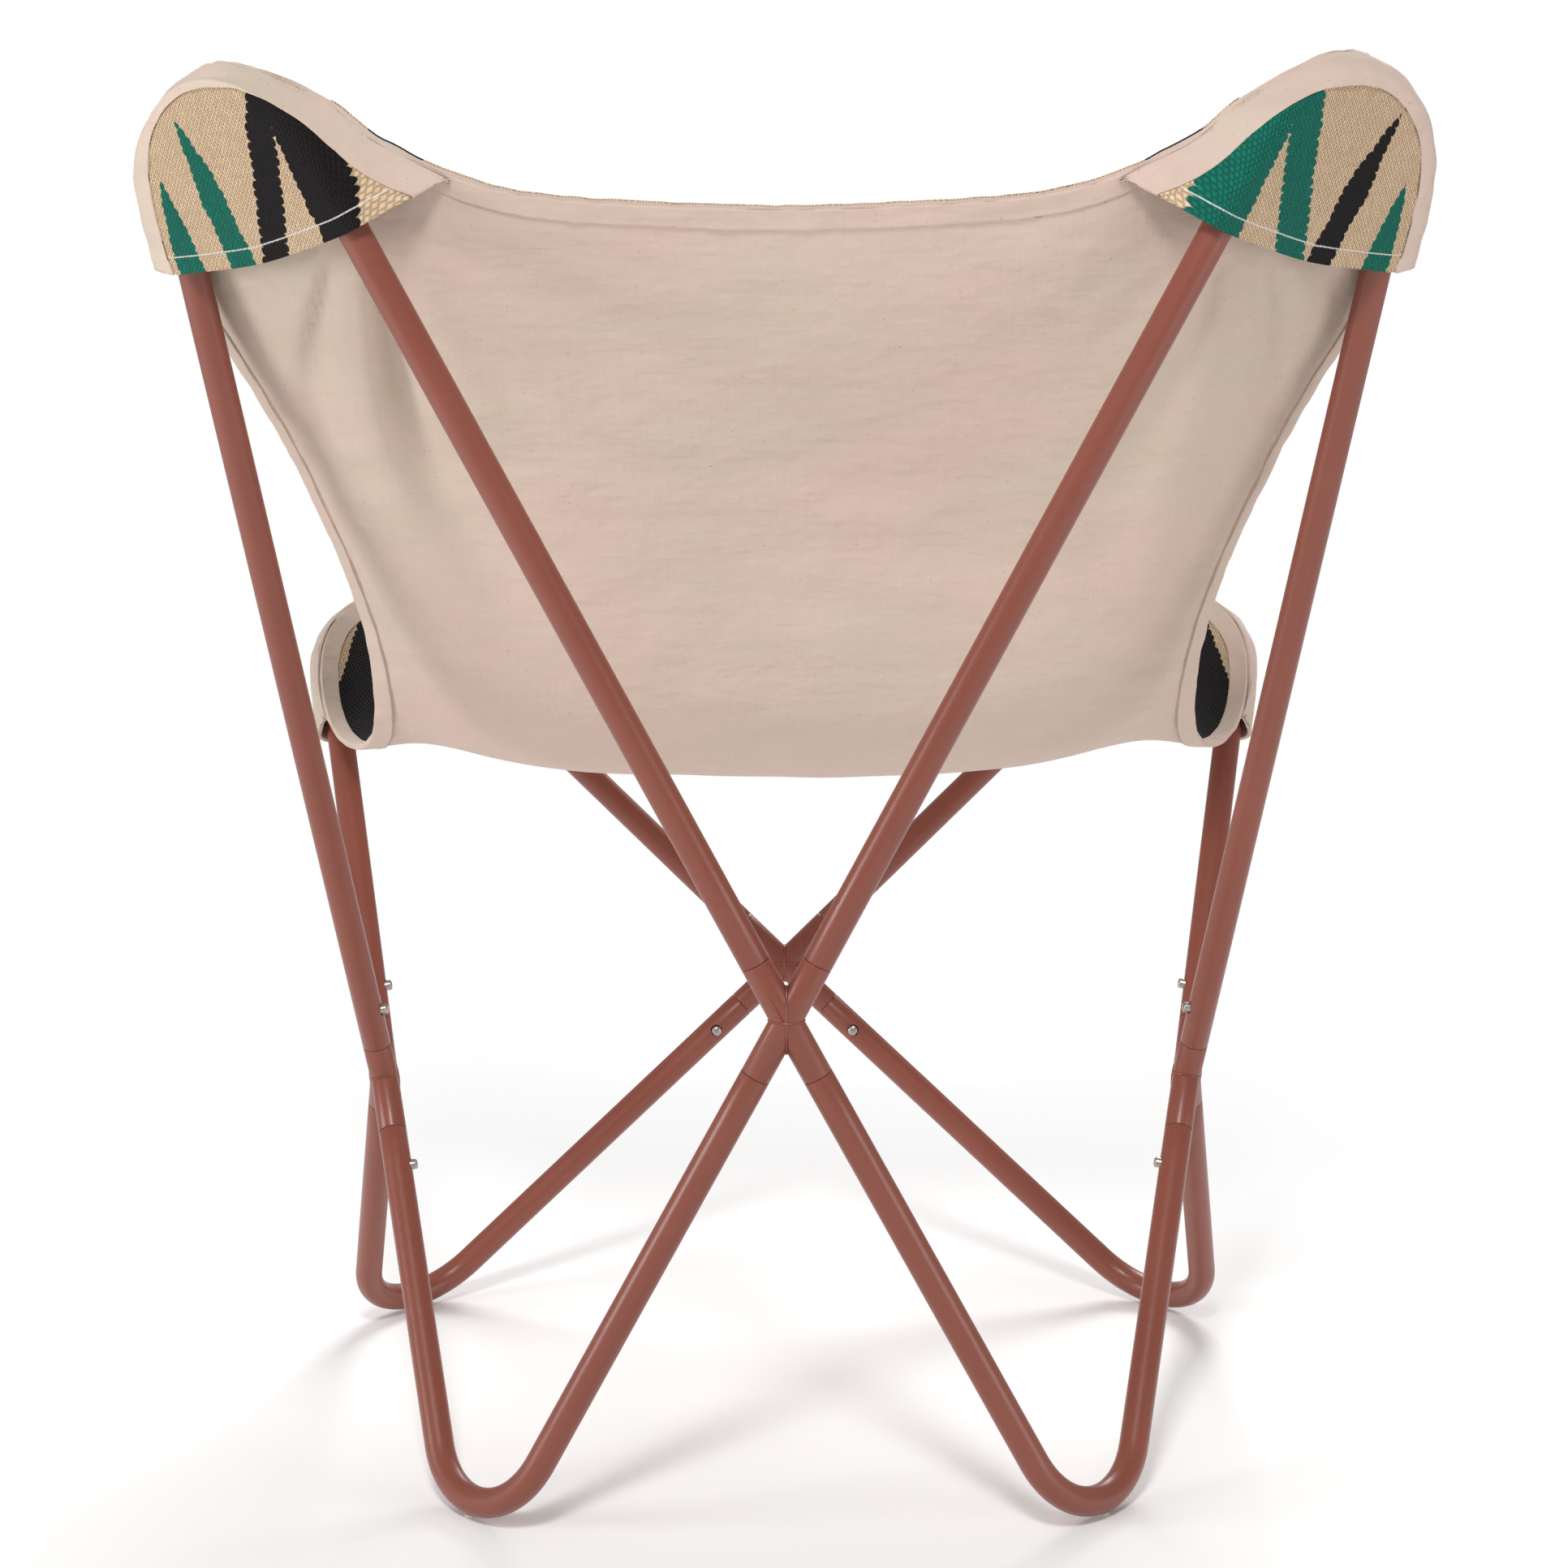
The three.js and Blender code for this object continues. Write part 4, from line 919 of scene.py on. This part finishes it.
pocket_tongues = {
    "back_left": [
        (black, 0.072, -0.20, 0.004, 26, 0.0150, -0.10, 0.12),
        (black, 0.026, 0.26, 0.005, 22, 0.0110, -0.10, 0.10),
        (teal, -0.018, -0.20, 0.005, 24, 0.0100, -0.10, 0.062),
        (teal, -0.060, -0.12, 0.006, 30, 0.0105, -0.10, 0.030),
        (black, -0.098, 0.30, 0.003, 30, 0.0100, -0.10, 0.060),
    ],
    "back_right": [
        (teal, 0.078, -0.24, 0.004, 24, 0.0140, -0.10, 0.12),
        (teal, 0.030, 0.22, 0.006, 26, 0.0125, -0.10, 0.11),
        (black, -0.014, -0.30, 0.004, 28, 0.0100, -0.10, 0.066),
        (teal, -0.058, -0.10, 0.005, 26, 0.0105, -0.10, 0.026),
        (black, -0.098, 0.28, 0.004, 30, 0.0095, -0.10, 0.050),
    ],
    "front_left": [
        (black, 0.030, 0.22, 0.006, 26, 0.0110, -0.10, 0.12),
        (teal, -0.020, -0.14, 0.006, 24, 0.0100, -0.10, 0.06),
        (black, -0.066, 0.16, 0.005, 28, 0.0090, -0.10, 0.05),
    ],
    "front_right": [
        (teal, 0.034, 0.16, 0.006, 26, 0.0110, -0.10, 0.12),
        (black, -0.016, -0.10, 0.006, 24, 0.0105, -0.10, 0.06),
        (teal, -0.062, 0.18, 0.005, 28, 0.0090, -0.10, 0.05),
    ],
}
cover_cloth = 0.0016
band_cloth = 0.0009
band_widths = {"back": 0.0272, "front": 0.0205}
band_lean = 0.045
rim_reach = 0.006
seam_lift = 0.0010
seam_pull = 0.9
seam_pull_reach = 0.007
corner_gap = 0.0020
corner_pull = 0.95
corner_from, corner_to = 0.085, 0.135
hem_round = 0.0004
dimple_at = (-0.047, 0.030)
dimple_radius = 0.03
dimple_depth = 0.0016
dimple_pitch = 60


def dent(piece, loop):
    """The soft hollow near a pocket's outer shoulder, where nothing fills the cloth."""
    ways = [vert.normal.copy() for vert in piece.data.vertices]
    for vert, way in zip(piece.data.vertices, ways):
        across, up, off = loop.flat(vert.co)
        reach = math.hypot(across - dimple_at[0], up - dimple_at[1])
        if off < 0.004:
            crinkle = noise.noise(Vector((across * dimple_pitch, up * dimple_pitch, loop.mirror)))
            vert.co += way * (dimple_depth * crinkle * math.exp(-(reach / dimple_radius) ** 2))


def pulled(point, surface, gap, share):
    """A point drawn by a share of the way to where it lies just a gap off a surface."""
    spot = surface.find_nearest(point)[0]
    return point.lerp(spot + (point - spot).normalized() * gap, share)


def cut_where(bm, layer, level):
    """Cuts a mesh's faces along the line where a value that the points carry has a given level."""
    tiny = 1e-6
    fresh = set()
    for edge in bm.edges[:]:
        a, b = (vert[layer] - level for vert in edge.verts)
        if a * b < 0 and min(abs(a), abs(b)) > tiny:
            _, vert = bmesh.utils.edge_split(edge, edge.verts[0], a / (a - b))
            vert[layer] = level
            fresh.add(vert)
    for face in bm.faces[:]:
        ends = [v for v in face.verts if v in fresh]
        if len(ends) == 2:
            bmesh.utils.face_split(face, ends[0], ends[1])


def far_from(spots):
    """A measure of how far a point lies from the nearest of some spots."""
    tree = KDTree(len(spots))
    for place, spot in enumerate(spots):
        tree.insert(spot, place)
    tree.balance()
    return lambda point: tree.find(point)[2]


for label in ("back_left", "back_right", "front_left", "front_right"):
    end, side = label.split("_")
    loop = loops[f"{end}_top_{side}"]
    whole = cloth_copy(f"pocket_{label}", f"pocket_{label}_shell", keep=lambda face: face.normal.dot(
        face.calc_center_median() - loop.heart(face.calc_center_median())) > 0)
    bm = bmesh.new()
    bm.from_mesh(whole.data)
    border = {vert for edge in bm.edges if edge.is_boundary for vert in edge.verts}
    rim = {vert for vert in border if canvas_near.find_nearest(vert.co)[3] < rim_reach}
    to_rim = far_from([vert.co.copy() for vert in rim])
    to_hem = far_from([vert.co.copy() for vert in border - rim])
    from_rim = bm.verts.layers.float.new("from_rim")
    from_hem = bm.verts.layers.float.new("hem")
    for vert in bm.verts:
        across = loop.flat(vert.co)[0]
        vert[from_rim] = to_rim(vert.co) + band_lean * across
        vert[from_hem] = to_hem(vert.co)
        vert.co = pulled(vert.co, bindings_near, seam_lift,
                         seam_pull * wave(-to_rim(vert.co), -seam_pull_reach, 0))
        if end == "back":
            vert.co = pulled(vert.co, canvas_near, corner_gap,
                             corner_pull * wave(across, corner_from, corner_to))
    rim_edges = [edge for edge in bm.edges if edge.is_boundary and all(v in rim for v in edge.verts)]
    grown = bmesh.ops.extrude_edge_only(bm, edges=rim_edges)["geom"]
    for edge in rim_edges:
        if not edge.is_contiguous:
            for face in edge.link_faces:
                if face in grown:
                    face.normal_flip()
    for vert in grown:
        if isinstance(vert, bmesh.types.BMVert):
            reach = bindings_near.find_nearest(vert.co)[0] - vert.co
            reach.length = min(reach.length, rim_reach)
            vert.co += reach
    cut_where(bm, from_rim, band_widths[end])
    bm.to_mesh(whole.data)
    bm.free()
    parts = {}
    for kind, thickness in (("cover", cover_cloth), ("band", cover_cloth + band_cloth)):
        bm = bmesh.new()
        bm.from_mesh(whole.data)
        from_rim = bm.verts.layers.float["from_rim"]
        in_band = {face: sum(vert[from_rim] for vert in face.verts) / len(face.verts) < band_widths[end]
                   for face in bm.faces}
        bmesh.ops.delete(bm, geom=[face for face in bm.faces if in_band[face] != (kind == "band")],
                         context="FACES")
        part = parts[kind] = piece_from(bm, f"pocket_{kind}_{label}")
        if kind == "cover":
            dent(part, loop)
        thicker = part.modifiers.new("thicker", "SOLIDIFY")
        thicker.thickness = thickness
        thicker.offset = -1 if kind == "cover" else 2 * band_cloth / thickness - 1
        rounded = part.modifiers.new("rounded", "BEVEL")
        rounded.width, rounded.segments, rounded.limit_method = hem_round, 2, "ANGLE"
        rounded.angle_limit = math.radians(60)
        settle_modifiers(part)
        if kind == "band":
            pucker(part, 0.0010, 75)
            part.data.materials.append(cotton)
        else:
            cloth_map(part, lambda point: loop.flat(point)[:2])
            part.data.materials.append(kilim(f"kilim_{label}", pocket_tongues[label], stitched=True))
            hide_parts(f"pocket_{label}")
        for vert in part.data.vertices:
            vert.co += settle_on_arm(vert.co)
        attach(part, "frame")
    bpy.data.objects.remove(whole)


# Room, light and the photograph's camera: a plain pale floor, a white surround and soft boxes.

floor_half = 12
white_from, white_over = 0.3, 0.9
room_dim = 0.38

bm = bmesh.new()
bmesh.ops.create_grid(bm, x_segments=1, y_segments=1, size=floor_half)
floor = piece_from(bm, "floor")
pale = Finish("pale_floor")
reach = pale.add("ShaderNodeVectorMath", {"operation": "LENGTH"}, {0: pale.place()}, output="Value")
far_off = ((reach - white_from) / white_over).share()
matt = pale.add("ShaderNodeBsdfDiffuse", {}, {"Color": (0.95, 0.95, 0.95)})
white = pale.add("ShaderNodeEmission", {}, {"Color": (1, 1, 1), "Strength": 1.0})
in_view = pale.add("ShaderNodeLightPath", output="Is Camera Ray")
pale.add_output(pale.add("ShaderNodeMixShader", {}, {0: far_off * in_view, 1: matt, 2: white}))
floor.data.materials.append(pale.material)

world = bpy.data.worlds.new("room")
bpy.context.scene.world = world
world.use_nodes = True
room = world.node_tree
room.nodes.clear()
path = room.nodes.new("ShaderNodeLightPath")
dim = room.nodes.new("ShaderNodeBackground")
dim.inputs["Strength"].default_value = room_dim
bright = room.nodes.new("ShaderNodeBackground")
bright.inputs["Strength"].default_value = 1.0
seen = room.nodes.new("ShaderNodeMixShader")
room_out = room.nodes.new("ShaderNodeOutputWorld")
for lamp_side in (dim, bright):
    lamp_side.inputs["Color"].default_value = (1, 1, 1, 1)
room.links.new(path.outputs["Is Camera Ray"], seen.inputs[0])
room.links.new(dim.outputs[0], seen.inputs[1])
room.links.new(bright.outputs[0], seen.inputs[2])
room.links.new(seen.outputs[0], room_out.inputs["Surface"])


def soft_box(name, at, towards, size, power):
    """A square area light of a size in metres and a power in watts."""
    lamp = bpy.data.lights.new(name, "AREA")
    lamp.shape, lamp.size, lamp.energy = "SQUARE", size, power
    holder = bpy.data.objects.new(name, lamp)
    bpy.context.scene.collection.objects.link(holder)
    holder.location = at
    holder.rotation_mode = "QUATERNION"
    holder.rotation_quaternion = (Vector(towards) - Vector(at)).to_track_quat("-Z", "Y")


soft_box("left_box", (2.5, 1.0, 0.8), (0, 0, 0.45), 0.8, 27)
soft_box("right_box", (-2.6, 1.7, 0.5), (0, 0, 0.4), 1.2, 20)
soft_box("top_box", (0.25, 2.2, 2.6), (0, 0.1, 0.4), 0.5, 43)
soft_box("front_box", (-0.6, -2.4, 2.3), (0, 0, 0.4), 1.3, 62)

camera_focal_pixels = 4367.3
photo_pixels = 1932
camera_at = Vector((0.006, 2.35397, 0.897))
camera_turns = [math.radians(value) for value in (-0.13, 11.31, -0.10)]
yaw, pitch, roll = camera_turns
looking = (Matrix.Rotation(roll, 3, "Z") @ Matrix.Rotation(pitch, 3, "X") @ Matrix.Rotation(yaw, 3, "Y")
           @ Matrix(((-1, 0, 0), (0, 0, -1), (0, -1, 0))))
lens = bpy.data.cameras.new("photograph")
lens.sensor_width = 36
lens.lens = camera_focal_pixels / photo_pixels * lens.sensor_width
lens.clip_start, lens.clip_end = 0.05, 60
camera = bpy.data.objects.new("photograph", lens)
bpy.context.scene.collection.objects.link(camera)
camera.matrix_world = (Matrix.Translation(camera_at)
                       @ Matrix((looking[0], -looking[1], -looking[2])).transposed().to_4x4())
bpy.context.scene.camera = camera
bpy.context.scene.view_settings.view_transform = "Standard"
